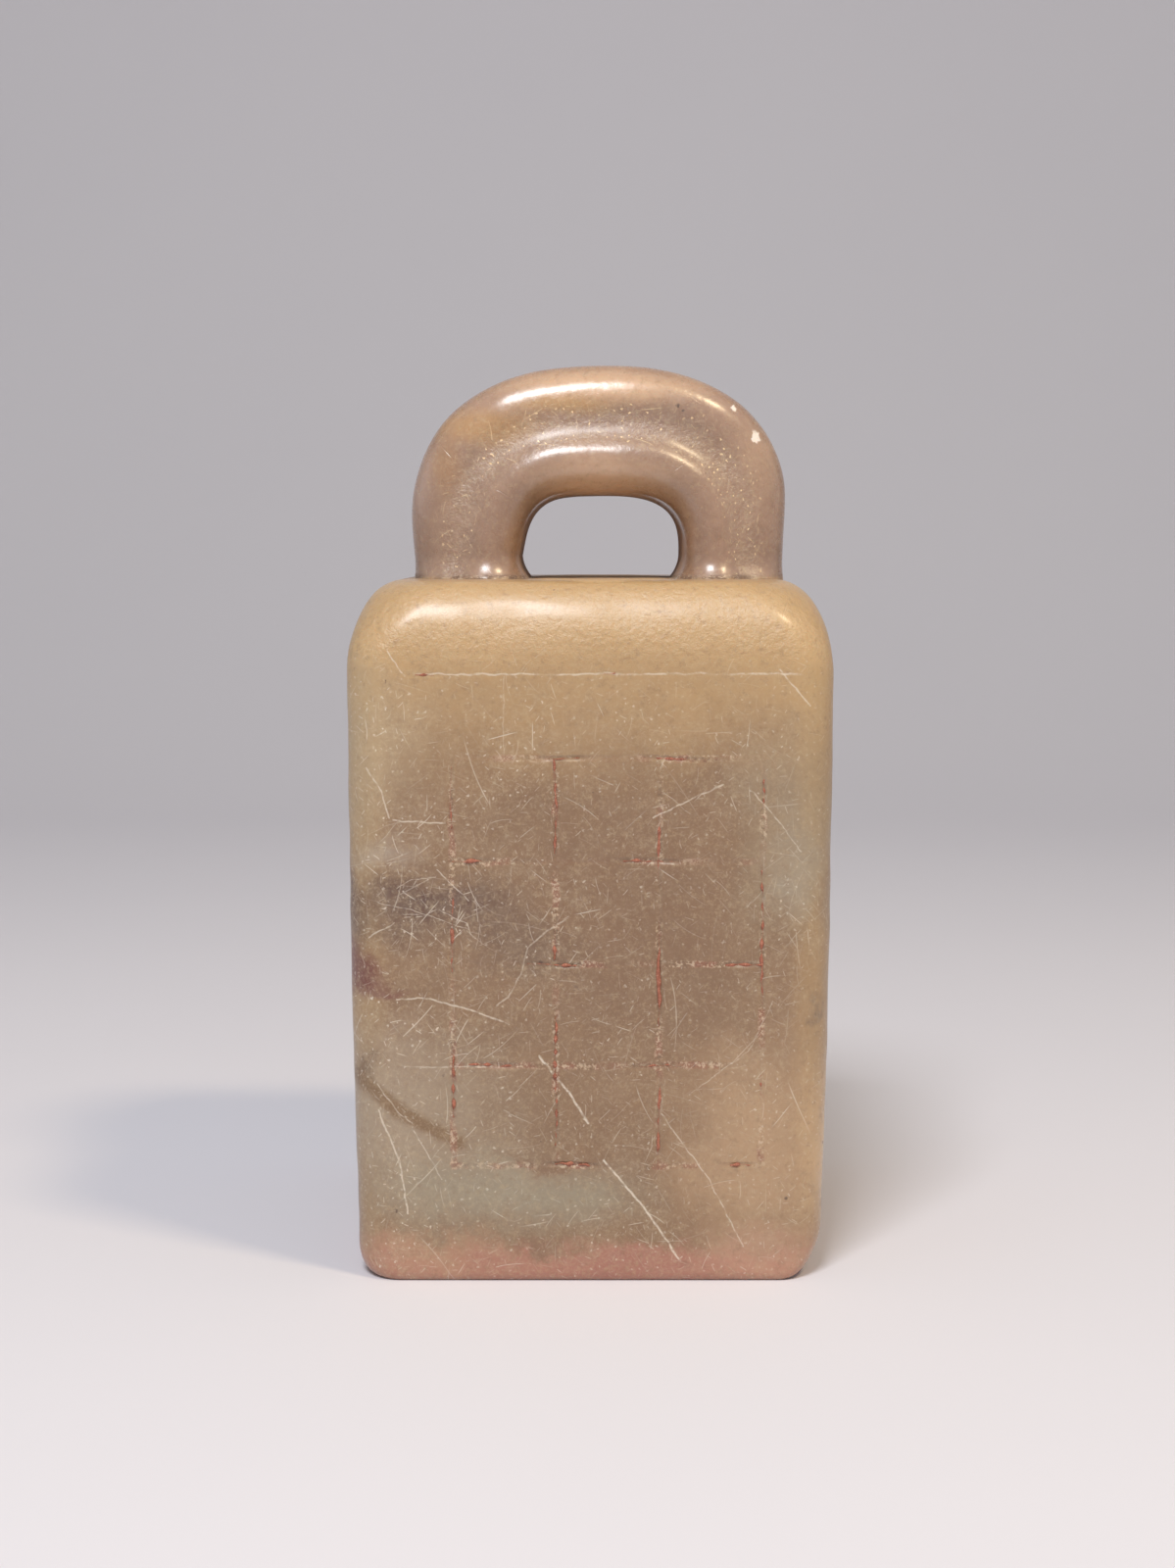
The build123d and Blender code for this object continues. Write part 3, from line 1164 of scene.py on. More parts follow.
def shaped(piece: bpy.types.Object, tool: Shell, cut: Cut) -> None:
    """Joins a shell to a piece or carves it out, and drops the shell.

    Args:
        piece: The piece that is changed.
        tool: The second shell.
        cut: Whether it is joined or carved out.
    """
    other = tool.to_object("tool")
    change = piece.modifiers.new(cut.name, "BOOLEAN")
    change.operation = cut.value
    change.solver = "MANIFOLD"
    change.object = other
    result = bpy.data.meshes.new_from_object(piece.evaluated_get(bpy.context.evaluated_depsgraph_get()))
    piece.modifiers.clear()
    before, spare = piece.data, other.data
    result.name = before.name
    piece.data = result
    bpy.data.objects.remove(other)
    for mesh in (before, spare):
        bpy.data.meshes.remove(mesh)


class Recipe:
    """A node graph of a material or of the world, written one call at a time."""

    HALF = (0.5, 0.5, 0.5)

    def __init__(self, owner: bpy.types.Material | bpy.types.World) -> None:
        """Starts an empty graph.

        Args:
            owner: The material or world that it belongs to.
        """
        owner.use_nodes = True
        self.owner = owner
        self.tree = owner.node_tree
        self.tree.nodes.clear()

    def add(self, kind: str, feeds: dict[str | int, Feed], **settings: object) -> bpy.types.Node:
        """Adds a node.

        Args:
            kind: The node's type.
            feeds: Sockets or plain values for its inputs.
            settings: Its other settings.

        Returns:
            The node.
        """
        node = self.tree.nodes.new(kind)
        for name, value in settings.items():
            setattr(node, name, value)
        for key, feed in feeds.items():
            if isinstance(feed, bpy.types.NodeSocket):
                self.tree.links.new(feed, node.inputs[key])
            else:
                node.inputs[key].default_value = feed
        return node

    def math(self, operation: str, *feeds: Feed) -> Socket:
        """Adds a sum on numbers and gives its result."""
        return self.add("ShaderNodeMath", dict(enumerate(feeds)), operation=operation).outputs[0]

    def minus(self, value: Feed, other: Feed) -> Socket:
        """Gives a number less another."""
        return self.math("SUBTRACT", value, other)

    def gap(self, value: Feed, other: Feed) -> Socket:
        """Gives how far a number is from another."""
        return self.math("ABSOLUTE", self.minus(value, other))

    def times(self, first: Feed, *others: Feed) -> Socket:
        """Gives the product of several numbers."""
        return reduce(lambda product, other: self.math("MULTIPLY", product, other), others, first)

    def line(self, value: Feed, slope: Feed, start: Feed) -> Socket:
        """Gives a number times a slope, plus a start."""
        return self.math("MULTIPLY_ADD", value, slope, start)

    def highest(self, values: Iterator[Socket]) -> Socket:
        """Gives the greatest of several numbers, each compared as soon as it is made."""
        return reduce(lambda top, value: self.math("MAXIMUM", top, value), values)

    def vector(self, operation: str, *feeds: Feed) -> Socket:
        """Adds a sum on vectors and gives its result, a number for a length or a product."""
        node = self.add("ShaderNodeVectorMath", dict(enumerate(feeds)), operation=operation)
        return node.outputs["Value" if operation in ("LENGTH", "DOT_PRODUCT") else "Vector"]

    def scaled(self, place: Feed, factor: Feed) -> Socket:
        """Gives a vector times a number."""
        node = self.add("ShaderNodeVectorMath", {"Vector": place, "Scale": factor}, operation="SCALE")
        return node.outputs["Vector"]

    def apart(self, place: Feed) -> tuple[Socket, Socket, Socket]:
        """Gives a vector's three numbers."""
        node = self.add("ShaderNodeSeparateXYZ", {0: place})
        return node.outputs[0], node.outputs[1], node.outputs[2]

    def together(self, x: Feed, y: Feed, z: Feed) -> Socket:
        """Gives the vector of three numbers."""
        return self.add("ShaderNodeCombineXYZ", {0: x, 1: y, 2: z}).outputs[0]

    def between(self, value: Feed, low: float, high: float, start: float = 0, end: float = 1) -> Socket:
        """Turns a value smoothly from start at low into end at high, where low may be the larger."""
        feeds = {0: value, 1: low, 2: high, 3: start, 4: end}
        return self.add("ShaderNodeMapRange", feeds, interpolation_type="SMOOTHSTEP", clamp=False).outputs[0]

    def mix(self, share: Feed, under: Feed, over: Feed) -> Socket:
        """Lays one colour over another by a share."""
        return self.add("ShaderNodeMix", {0: share, 6: under, 7: over}, data_type="RGBA").outputs[2]

    def noise(self, place: Feed, per_mm: float, detail: float = 2, rough: float = 0.5) -> bpy.types.Node:
        """Adds a noise of so many lumps to the millimetre."""
        feeds = {"Vector": place, "Scale": per_mm, "Detail": detail, "Roughness": rough}
        return self.add("ShaderNodeTexNoise", feeds)

    def cells(self, place: Feed, per_mm: float) -> bpy.types.Node:
        """Adds flat random cells of so many to the millimetre."""
        feeds = {"Vector": place, "Scale": per_mm}
        return self.add("ShaderNodeTexVoronoi", feeds, voronoi_dimensions="2D", feature="F1")

    def place_mm(self) -> Socket:
        """Gives the piece's own coordinates, in millimetres."""
        return self.scaled(self.add("ShaderNodeTexCoord", {}).outputs["Object"], 1 / MM)

    def wrap_mm(self) -> Socket:
        """Gives the piece's map coordinates, in millimetres."""
        return self.add("ShaderNodeUVMap", {}, uv_map=Shell.MAP_NAME).outputs[0]

    def bumped(self, height: Socket, distance: float) -> Socket:
        """Gives the normal that a height of so many metres leaves."""
        feeds = {"Height": height, "Strength": 1.0, "Distance": distance}
        return self.add("ShaderNodeBump", feeds).outputs[0]

    def finish(
        self, surface: bpy.types.Node, output: str = "ShaderNodeOutputMaterial"
    ) -> bpy.types.Material | bpy.types.World:
        """Sends a shader to the output and gives the material or world."""
        self.add(output, {0: surface.outputs[0]})
        return self.owner


@dataclass(frozen=True)
class Lumps:
    """A noise, turned smoothly from one number into another.

    Attributes:
        per_mm: Lumps to the millimetre.
        detail: How many finer layers it has.
        rough: How strongly each finer layer shows.
        low: Noise at which the turn starts.
        high: Noise at which it ends, which may be the lower one.
        start: Result at the low end.
        end: Result at the high end.
    """

    per_mm: float
    detail: float
    rough: float
    low: float
    high: float
    start: float = 0.0
    end: float = 1.0

    def over(self, recipe: Recipe, place: Feed) -> Socket:
        """Gives the turned noise at each place."""
        value = recipe.noise(place, self.per_mm, self.detail, self.rough).outputs[0]
        return recipe.between(value, self.low, self.high, self.start, self.end)


@dataclass(frozen=True)
class Shake:
    """A noise that moves places, so that nothing laid by them has an even edge.

    Attributes:
        per_mm: Lumps to the millimetre.
        detail: How many finer layers it has.
        rough: How strongly each finer layer shows.
        reach: Width of the whole movement.
    """

    per_mm: float
    detail: float
    rough: float
    reach: float

    def moved(self, recipe: Recipe, place: Feed, start: Feed) -> Socket:
        """Gives the start moved by the noise at a place: the noise's colour less a half, times the reach.

        Args:
            recipe: The graph.
            place: Place that the noise is read at.
            start: The coordinates that are moved.

        Returns:
            The moved coordinates.
        """
        colour = recipe.noise(place, self.per_mm, self.detail, self.rough).outputs[1]
        away = recipe.scaled(recipe.vector("SUBTRACT", colour, recipe.HALF), self.reach)
        return recipe.vector("ADD", start, away)


@dataclass(frozen=True)
class Zone:
    """A soft-edged region inside the stone.

    Attributes:
        centre: Its middle.
        reach: How far it goes each way.
        strength: How fully it counts.
        core: Share of the reach that counts in full.
    """

    centre: Point3
    reach: Point3
    strength: float = 1.0
    core: float = 0.2

    def share(self, recipe: Recipe, place: Socket) -> Socket:
        """Gives how fully each place lies in the zone.

        The share falls smoothly with the distance from the centre, measured in reaches.

        Args:
            recipe: The graph.
            place: Place inside the stone.

        Returns:
            The share, 0 to its strength.
        """
        away = recipe.vector("SUBTRACT", place, self.centre)
        distance = recipe.vector("LENGTH", recipe.vector("DIVIDE", away, self.reach))
        return recipe.between(distance, 1, self.core, 0, self.strength)


@dataclass(frozen=True)
class Patch:
    """A cloud of colour inside the stone."""

    colour: Rgb
    zone: Zone

    @staticmethod
    def rows(*rows: tuple) -> tuple["Patch", ...]:
        """Makes a patch of each row: its colour, then its zone's centre, reach, strength and core."""
        return tuple(Patch(colour, Zone(*zone)) for colour, *zone in rows)

    @staticmethod
    def layered(patches: tuple["Patch", ...], recipe: Recipe, place: Socket, under: Socket) -> Socket:
        """Lays patches over a colour, one after another.

        Args:
            patches: The patches.
            recipe: The graph.
            place: Place inside the stone.
            under: The colour under them.

        Returns:
            The new colour.
        """
        colour = under
        for patch in patches:
            colour = recipe.mix(patch.zone.share(recipe, place), colour, tint(*patch.colour))
        return colour


@dataclass(frozen=True)
class Streak:
    """A line on the front: a scratch on its surface or a vein that comes out there.

    Attributes:
        points: Places along it, X and Z.
        half_width: Half of its width.
        strength: How fully it shows.
    """

    points: tuple[Point2, ...]
    half_width: float
    strength: float

    CORE = 0.25

    def share(self, recipe: Recipe, flat: Socket) -> Socket:
        """Gives how fully the line covers each place.

        The distance to a run is the length of what is left of the place once its part along the run,
        held between the run's ends, is taken off.

        Args:
            recipe: The graph.
            flat: Place on the front, X and Z as the first two numbers.

        Returns:
            The share, 0 to its strength.
        """

        def one_run(start: Point2, end: Point2) -> Socket:
            """Gives how fully one straight run covers each place.

            Args:
                start: Where it starts, X and Z.
                end: Where it ends.

            Returns:
                The share, 0 to the line's strength.
            """
            run = (end[0] - start[0], end[1] - start[1], 0.0)
            squared = run[0] ** 2 + run[1] ** 2
            away = recipe.vector("SUBTRACT", flat, (*start, 0.0))
            along = recipe.vector("DOT_PRODUCT", away, (run[0] / squared, run[1] / squared, 0.0))
            held = recipe.math("MINIMUM", recipe.math("MAXIMUM", along, 0.0), 1.0)
            off = recipe.vector("LENGTH", recipe.vector("SUBTRACT", away, recipe.scaled(run, held)))
            return recipe.between(off, self.half_width, self.CORE * self.half_width, 0, self.strength)

        return recipe.highest(one_run(start, end) for start, end in zip(self.points, self.points[1:]))


@dataclass(frozen=True)
class Scoring:
    """A crowd of short scratches, one to a random cell.

    Attributes:
        cell: Width of a cell.
        half_width: Half of a scratch's width.
        length: Greatest half length.
        share: Share of the cells that hold one.
        strength: How fully they show.
        shift: Where the pattern starts, so that no two crowds agree.
    """

    cell: float
    half_width: float
    length: float
    share: float
    strength: float
    shift: float

    SLANT = 1.7
    BEND = 0.5
    CORE = 0.2
    SHORTEST = 0.3
    FADE = 0.4
    SHARE_FADE = 0.1
    LUCK = 7.3
    FAINTEST = 0.22

    def mask(self, recipe: Recipe, wrap: Socket) -> Socket:
        """Gives how fully the scratches cover each place.

        A cell's random colour sets its scratch's angle, length and bend. The distance across is the
        offset from the cell's middle times the sine and cosine of the angle, plus the bend times the
        square of the distance along.

        Args:
            recipe: The graph.
            wrap: Map coordinates.

        Returns:
            The share, 0 to its strength.
        """
        moved = recipe.vector("ADD", wrap, (self.shift, self.shift * self.SLANT, 0.0))
        cell = recipe.cells(moved, 1 / self.cell)
        turn, bulk, chance = recipe.apart(cell.outputs["Color"])
        x, y, _ = recipe.apart(recipe.vector("SUBTRACT", moved, cell.outputs["Position"]))
        angle = recipe.times(turn, 2 * pi)
        cosine, sine = recipe.math("COSINE", angle), recipe.math("SINE", angle)
        along = recipe.math("ADD", recipe.times(x, cosine), recipe.times(y, sine))
        across = recipe.minus(recipe.times(x, sine), recipe.times(y, cosine))
        bend = recipe.line(bulk, self.BEND / self.cell, -self.BEND / 2 / self.cell)
        across = recipe.line(recipe.times(along, along), bend, across)
        width = recipe.between(recipe.math("ABSOLUTE", across), self.half_width, self.CORE * self.half_width)
        reach = recipe.line(bulk, (1 - self.SHORTEST) * self.length, self.SHORTEST * self.length)
        left = recipe.minus(reach, recipe.math("ABSOLUTE", along))
        ends = recipe.between(left, 0, self.FADE * self.length)
        there = recipe.between(chance, self.share, self.share - self.SHARE_FADE, 0, self.strength)
        luck = recipe.math("FRACT", recipe.times(turn, self.LUCK))
        faint = recipe.line(recipe.times(luck, luck), 1 - self.FAINTEST, self.FAINTEST)
        there = recipe.times(there, faint)
        return recipe.times(width, ends, there)


@dataclass(frozen=True)
class SoapstoneFinish:
    """Waxy, slightly translucent stone, handled smooth, with clouds of colour and old scratches, and with
    painted glow, painted shade and painted highlights in its colour.

    The pairs and rows of four that go to Recipe.between say where a change starts and ends, and what it
    starts and ends as. The pairs that go to Recipe.line are a slope and a start.
    """

    panel: Panel = Panel()
    khaki: Tint = tint(142, 111, 81)
    khaki_deep: Tint = tint(132, 101, 72)
    honey: Tint = tint(188, 154, 108)
    # Colour of the painted glow on the block's corners.
    painted_rim_glow: Tint = tint(196, 164, 116)
    knob: Tint = tint(164, 132, 110)
    knob_deep: Tint = tint(147, 117, 97)
    haze: Tint = tint(204, 186, 156)
    scratch: Tint = tint(232, 220, 202)
    crushed: Tint = tint(208, 184, 156)
    rust: Tint = tint(146, 88, 66)
    foot_line_tint: Tint = tint(98, 72, 56)
    lint: Tint = tint(206, 184, 160)
    brown: Tint = tint(124, 92, 56)
    pit: Tint = tint(92, 66, 52)
    gold_fleck: Tint = tint(240, 212, 168)
    milk: Tint = tint(192, 168, 132)
    # Spots on the knob: the two near-white ones on its right side are painted highlights, and the dark ones
    # are pits.
    marks: tuple[Patch, ...] = Patch.rows(
        ((240, 228, 214), (7.75, -4.2, 45.5), (0.26, 1.2, 0.2), 0.95, 0.6),
        ((240, 228, 214), (8.95, -4.0, 43.95), (0.25, 1.2, 0.45), 0.95, 0.6),
        ((52, 40, 34), (4.7, -5.0, 45.6), (0.16, 1.0, 0.16), 0.9, 0.5),
        ((52, 40, 34), (5.0, -5.0, 45.35), (0.22, 1.0, 0.12), 0.9, 0.5),
        ((98, 74, 60), (1.7, -5.0, 45.3), (0.3, 1.0, 0.14), 0.7, 0.3),
        ((104, 80, 64), (5.4, -5.0, 43.5), (0.26, 1.0, 0.2), 0.7, 0.3),
    )
    clouds: tuple[Patch, ...] = Patch.rows(
        ((180, 158, 126), (-12.0, -6.0, 28.0), (6.5, 14.0, 7.0), 0.75),
        ((130, 98, 70), (1.5, -12.0, 19.0), (9.0, 8.0, 10.0), 0.85),
        ((160, 142, 114), (10.0, -9.0, 24.0), (4.5, 12.0, 8.0), 0.6),
        ((158, 146, 128), (10.4, -12.4, 22.0), (2.2, 4.0, 3.6), 0.55),
        ((190, 156, 120), (8.8, -10.0, 7.5), (6.5, 12.0, 8.5), 0.75),
        # Painted glow: a lighter, yellower band low on the right edge, standing in for light through the thin
        # edge.
        ((216, 182, 138), (12.6, -9.0, 6.5), (2.4, 8.0, 6.5), 0.7),
        ((140, 116, 92), (12.8, -10.0, 20.0), (1.6, 8.0, 5.0), 0.5),
        ((170, 148, 126), (-9.5, -9.0, 9.0), (5.0, 12.0, 6.5), 0.75),
        ((158, 142, 120), (-8.4, -11.5, 8.4), (7.5, 9.0, 6.6), 0.5, 0.1),
        ((156, 144, 122), (-4.4, -11.5, 4.6), (10.5, 9.0, 3.4), 0.85, 0.15),
        ((148, 138, 116), (-1.2, -12.2, 4.3), (4.6, 5.0, 1.6), 0.4, 0.0),
        ((94, 66, 52), (-8.0, -12.2, 19.6), (6.6, 6.0, 2.8), 1.0, 0.0),
        ((112, 86, 66), (-3.6, -12.5, 18.0), (4.6, 5.0, 2.3), 0.65, 0.0),
        ((178, 166, 152), (-9.8, -12.4, 22.6), (2.8, 4.0, 1.5), 0.5, 0.0),
        # A dark red-brown strip on the left edge: partly the stone's own colour, partly painted shade of the
        # less lit left side.
        ((84, 50, 38), (-12.9, -11.5, 20.0), (2.2, 6.0, 5.5), 0.95),
        ((112, 56, 42), (-12.7, -11.0, 16.3), (2.9, 7.0, 2.3), 0.95, 0.35),
        ((120, 74, 58), (-10.9, -12.5, 15.3), (2.6, 3.0, 0.65), 0.8),
        ((112, 84, 58), (-12.4, -12.2, 11.1), (1.9, 3.0, 1.2), 0.9, 0.25),
        ((130, 96, 68), (-2.0, -12.5, 6.7), (4.0, 4.0, 0.7), 0.7),
        ((112, 92, 76), (11.9, -12.0, 13.9), (0.8, 0.9, 0.85), 0.7, 0.0),
        ((104, 74, 56), (-1.5, -12.5, 16.0), (0.35, 0.6, 0.16), 0.8),
        ((110, 82, 60), (-1.3, -12.5, 10.6), (0.4, 0.6, 0.14), 0.75),
        ((112, 84, 62), (2.7, -12.5, 10.2), (0.3, 0.6, 0.2), 0.7),
    )
    far_clouds: tuple[Patch, ...] = Patch.rows(
        ((122, 92, 68), (6.0, 12.0, 24.0), (8.0, 7.0, 4.0), 0.75),
        ((172, 152, 126), (-6.0, 12.0, 12.0), (7.0, 8.0, 6.0), 0.6),
        ((112, 70, 54), (-12.4, 5.0, 9.0), (3.0, 6.0, 1.6), 0.7),
        ((160, 144, 122), (12.4, 6.0, 16.0), (5.0, 6.0, 5.0), 0.6),
        ((116, 86, 64), (12.4, -3.0, 27.0), (3.0, 4.5, 1.3), 0.6),
    )
    foot: tuple[Patch, ...] = Patch.rows(
        ((176, 122, 102), (0.0, 0.0, -1.0), (60.0, 60.0, 3.2), 0.85, 0.6),
        ((160, 100, 86), (1.0, -13.0, 0.0), (9.0, 5.0, 1.5), 0.5),
        ((186, 142, 112), (-9.0, -12.0, 1.5), (5.0, 6.0, 1.3), 0.55),
        ((132, 100, 76), (-3.0, -12.4, 1.55), (2.6, 4.0, 0.5), 0.6),
        ((196, 152, 126), (9.0, -12.0, 1.6), (5.0, 6.0, 2.2), 0.5),
    )
    knob_clouds: tuple[Patch, ...] = Patch.rows(
        ((206, 170, 136), (0.5, -3.0, 46.6), (7.5, 6.0, 1.4), 0.85),
        ((182, 140, 86), (-5.6, -3.5, 44.3), (4.2, 6.0, 1.4), 0.65),
        ((186, 146, 96), (-1.6, -3.5, 45.6), (4.2, 6.0, 0.8), 0.7),
        ((160, 122, 84), (-7.8, -4.0, 42.2), (1.3, 5.0, 2.2), 0.6),
        ((174, 144, 128), (-9.8, -3.0, 41.5), (2.0, 7.0, 4.6), 0.75),
        ((144, 114, 98), (2.6, -5.0, 44.6), (5.6, 4.0, 1.3), 0.65),
        ((150, 120, 98), (6.0, -5.0, 42.6), (3.2, 4.0, 2.6), 0.6),
        ((176, 144, 116), (9.2, -2.0, 43.0), (2.2, 6.0, 3.4), 0.6),
        ((208, 172, 140), (0.6, -3.0, 41.7), (5.4, 6.0, 1.6), 0.85),
        ((178, 134, 96), (-4.4, 0.0, 38.8), (1.2, 6.2, 2.6), 0.7),
        ((156, 110, 78), (5.6, 0.0, 38.8), (1.1, 6.2, 2.8), 0.7),
    )
    eye: Zone = Zone((0.6, 0.0, 37.9), (5.0, 12.0, 3.75), 1.0, 0.93)
    scuffs: tuple[Zone, ...] = (
        Zone((-8.0, -12.5, 19.4), (5.5, 5.0, 3.4), 0.9, 0.1),
        Zone((-10.2, -12.5, 23.0), (2.6, 5.0, 2.6), 0.5, 0.1),
        Zone((-6.2, -12.5, 13.0), (3.4, 5.0, 3.6), 0.6, 0.1),
        Zone((10.0, -12.5, 19.5), (2.6, 5.0, 6.5), 0.6, 0.1),
        Zone((3.4, -12.5, 8.0), (3.5, 5.0, 2.6), 0.4, 0.1),
    )
    vein: Streak = Streak(((-13.0, 11.4), (-11.4, 10.4), (-9.7, 9.0), (-8.4, 8.5), (-6.7, 7.5)), 0.58, 0.85)
    scratches: tuple[Streak, ...] = (
        Streak(((-2.62, 12.0), (-1.1, 10.1), (-0.1, 8.45)), 0.085, 0.9),
        Streak(((0.71, 6.48), (2.9, 3.9), (4.69, 1.12)), 0.08, 0.9),
        Streak(((3.69, 8.97), (6.2, 5.4), (7.99, 1.85)), 0.05, 0.6),
        Streak(((-11.01, 10.51), (-9.9, 9.0), (-9.21, 8.45)), 0.05, 0.55),
        Streak(((-10.92, 9.07), (-9.88, 6.48), (-9.45, 3.63)), 0.07, 0.75),
        Streak(((-9.11, 8.04), (-7.66, 5.45)), 0.045, 0.6),
        Streak(((-9.91, 14.97), (-8.3, 15.02), (-6.4, 14.5), (-4.48, 13.8)), 0.065, 0.7),
        Streak(((-9.54, 11.44), (-5.35, 11.44)), 0.05, 0.45),
        Streak(((-11.41, 26.9), (-10.62, 25.8), (-10.24, 24.35)), 0.06, 0.6),
        Streak(((-10.04, 24.25), (-7.39, 24.09)), 0.055, 0.65),
        Streak(((-10.26, 32.83), (-9.38, 31.59)), 0.055, 0.6),
        Streak(((-4.37, 31.59), (-4.4, 27.6)), 0.04, 0.3),
        Streak(((9.6, 31.9), (10.4, 31.0), (11.2, 30.1)), 0.06, 0.6),
        Streak(((-7.8, 21.7), (-6.2, 20.1)), 0.045, 0.6),
        Streak(((3.2, 24.4), (6.8, 26.1)), 0.06, 0.6),
        Streak(
            ((-1.2, 19.15), (-2.2, 18.5), (-3.2, 17.65), (-3.55, 16.3), (-4.2, 15.1), (-4.8, 14.6)),
            0.06,
            0.45,
        ),
        Streak(((8.4, 25.6), (9.6, 24.2), (10.8, 22.6)), 0.05, 0.5),
        Streak(((5.2, 10.0), (8.2, 12.3), (9.4, 14.9)), 0.04, 0.4),
        Streak(((-11.3, 18.2), (-10.0, 18.95)), 0.05, 0.6),
        Streak(((-10.9, 20.0), (-9.0, 19.6), (-6.2, 18.6)), 0.035, 0.5),
        Streak(((-9.9, 20.7), (-9.1, 21.2), (-7.9, 21.3)), 0.035, 0.5),
        Streak(((-7.7, 19.6), (-6.3, 18.9), (-6.0, 18.2)), 0.04, 0.6),
    )
    coarse_scoring: Scoring = Scoring(4.2, 0.045, 2.3, 0.7, 0.9, 3.1)
    cut_scoring: Scoring = Scoring(2.2, 0.038, 1.3, 0.8, 0.95, 17.3)
    fine_scorings: tuple[Scoring, ...] = (
        Scoring(1.15, 0.034, 0.7, 0.85, 0.95, 41.9),
        Scoring(0.6, 0.034, 0.26, 0.85, 0.9, 67.7),
    )
    tangles: tuple[Scoring, ...] = (
        Scoring(2.7, 0.034, 1.8, 1.1, 1.4, 97.1),
        Scoring(2.2, 0.032, 1.5, 1.1, 1.4, 131.3),
        Scoring(1.6, 0.03, 1.1, 1.1, 1.4, 158.9),
        Scoring(1.3, 0.03, 0.9, 1.1, 1.4, 203.3),
    )
    cloud_shakes: tuple[Shake, ...] = (
        Shake(0.16, 2, 0.5, 4.4),
        Shake(0.7, 3, 0.6, 2.0),
        Shake(2.6, 3, 0.7, 1.0),
    )
    near_share: float = 0.25
    mark_and_highlight_shake: Shake = Shake(3.0, 2, 0.5, 0.5)
    rule_shake: Shake = Shake(1.2, 2, 0.5, 0.3)
    scratch_shake: Shake = Shake(1.6, 2, 0.5, 0.22)
    spot_shake: Shake = Shake(4.0, 2, 0.5, 0.3)
    mottle: Lumps = Lumps(0.3, 4, 0.6, 0.3, 0.7)
    milky: Lumps = Lumps(3.4, 4, 0.74, 0.48, 0.74, 0, 0.36)
    shadowy: Lumps = Lumps(2.6, 4, 0.74, 0.5, 0.26, 0, 0.4)
    scuffed: Lumps = Lumps(0.24, 3, 0.6, 0.34, 0.68, 0.3, 0.8)
    fine_bloom: Lumps = Lumps(5.5, 3, 0.7, 0.46, 0.7)
    broad_bloom: Lumps = Lumps(1.1, 3, 0.6, 0.4, 0.66)
    bloom_cover: Point2 = (0.3, 0.12)
    fading: Lumps = Lumps(0.21, 1, 0.5, 0.46, 0.6, 0, 0.5)
    broken: Lumps = Lumps(3.2, 2, 0.5, 0.34, 0.56, 0.3, 1)
    rule_run: Lumps = Lumps(0.34, 2, 0.5, 0.42, 0.6, 0.12, 1)
    rusty: Lumps = Lumps(0.7, 3, 0.6, 0.46, 0.6, 0, 0.6)
    head_run: Lumps = Lumps(0.9, 4, 0.7, 0.4, 0.6, 0.15, 1)
    foot_line_lumps: Lumps = Lumps(1.3, 5, 0.75, 0.38, 0.56, 0.15, 0.85)
    fibrous: Lumps = Lumps(4.4, 3, 0.75, 0.54, 0.62, 0, 0.75)
    fibre_stretch: Point3 = (1.0, 1.0, 4.0)
    cloudy_gloss: Lumps = Lumps(0.9, 3, 0.6, 0.3, 0.7, -0.03, 0.05)
    knob_from: Point2 = (36.3, 36.6)
    knob_tint_from: Point2 = (36.25, 36.6)
    knob_gloss_from: Sides = (36.2, 36.8, 0.36, 0.26)
    front_from: Point2 = (-10.5, -11.5)
    honey_from: Point2 = (24.5, 34.0)
    painted_rim_glow_from: Sides = (22.4, 24.0, 0, 0.5)
    vein_from: Point2 = (-5, -9)
    hidden_from: Point2 = (-10, -4)
    hidden_sway: Point2 = (0.3, 3.0)
    hidden_per_mm: float = 0.085
    hidden_level: float = 0.53
    hidden_ridge: Point2 = (0.011, 0.001)
    band_from: Point2 = (2.0, 0.5)
    band_wear: Point2 = (0.7, 0.08)
    band_specks: float = 0.9
    left_wear: Sides = (6, -8, 0.8, 1.15)
    low_wear: Sides = (34, 29, 0.2, 1)
    line_cover: float = 0.84
    rule_margin: float = 0.15
    rule_fade: float = 0.1
    rule_edge: Point2 = (0.24, 0.1)
    head_fade: float = 0.2
    head_edge: Sides = (0.075, 0.015, 0, 0.55)
    grit: tuple[float, float, float] = (5.0, 3, 0.7)
    pale_grit: Sides = (0.5, 0.6, 0, 0.7)
    dark_grit: Sides = (0.42, 0.34, 0, 0.5)
    pit_cell: float = 2.6
    pit_growth: float = 0.03
    pit_edge: Point2 = (0.02, 0.0)
    pit_chance: Sides = (0.1, 0.06, 0, 0.75)
    speck_cell: float = 0.42
    speck_edge: Point2 = (0.18, 0.05)
    speck_chance: Sides = (0.55, 1.0, 0, 0.8)
    feet_middle: float = 0.6
    foot_out: float = 7.2
    foot_half_width: float = 3.2
    foot_half_depth: float = 5.4
    foot_line_height: float = 36.42
    foot_line_rise: Point2 = (0.3, 0.05)
    foot_line_spread: Point2 = (1.1, 0.3)
    dulling: Point3 = (0.12, 0.2, 0.6)
    shoulder_from: Point2 = (31, 33)
    shoulder_to: Point2 = (36.5, 36.2)
    wave: tuple[float, float, float] = (0.9, 2, 0.5)
    wave_height: float = 0.05
    crackle: tuple[float, float, float] = (2.5, 4, 0.68)
    crackle_height: Point2 = (0.085, 0.01)
    scoring_depth: float = 0.012
    ior: float = 1.58
    scatter: float = 0.35
    scatter_radius: Point3 = (1.0, 0.62, 0.4)
    scatter_depth: float = 1.4
    coat: float = 0.45
    coat_roughness: float = 0.23

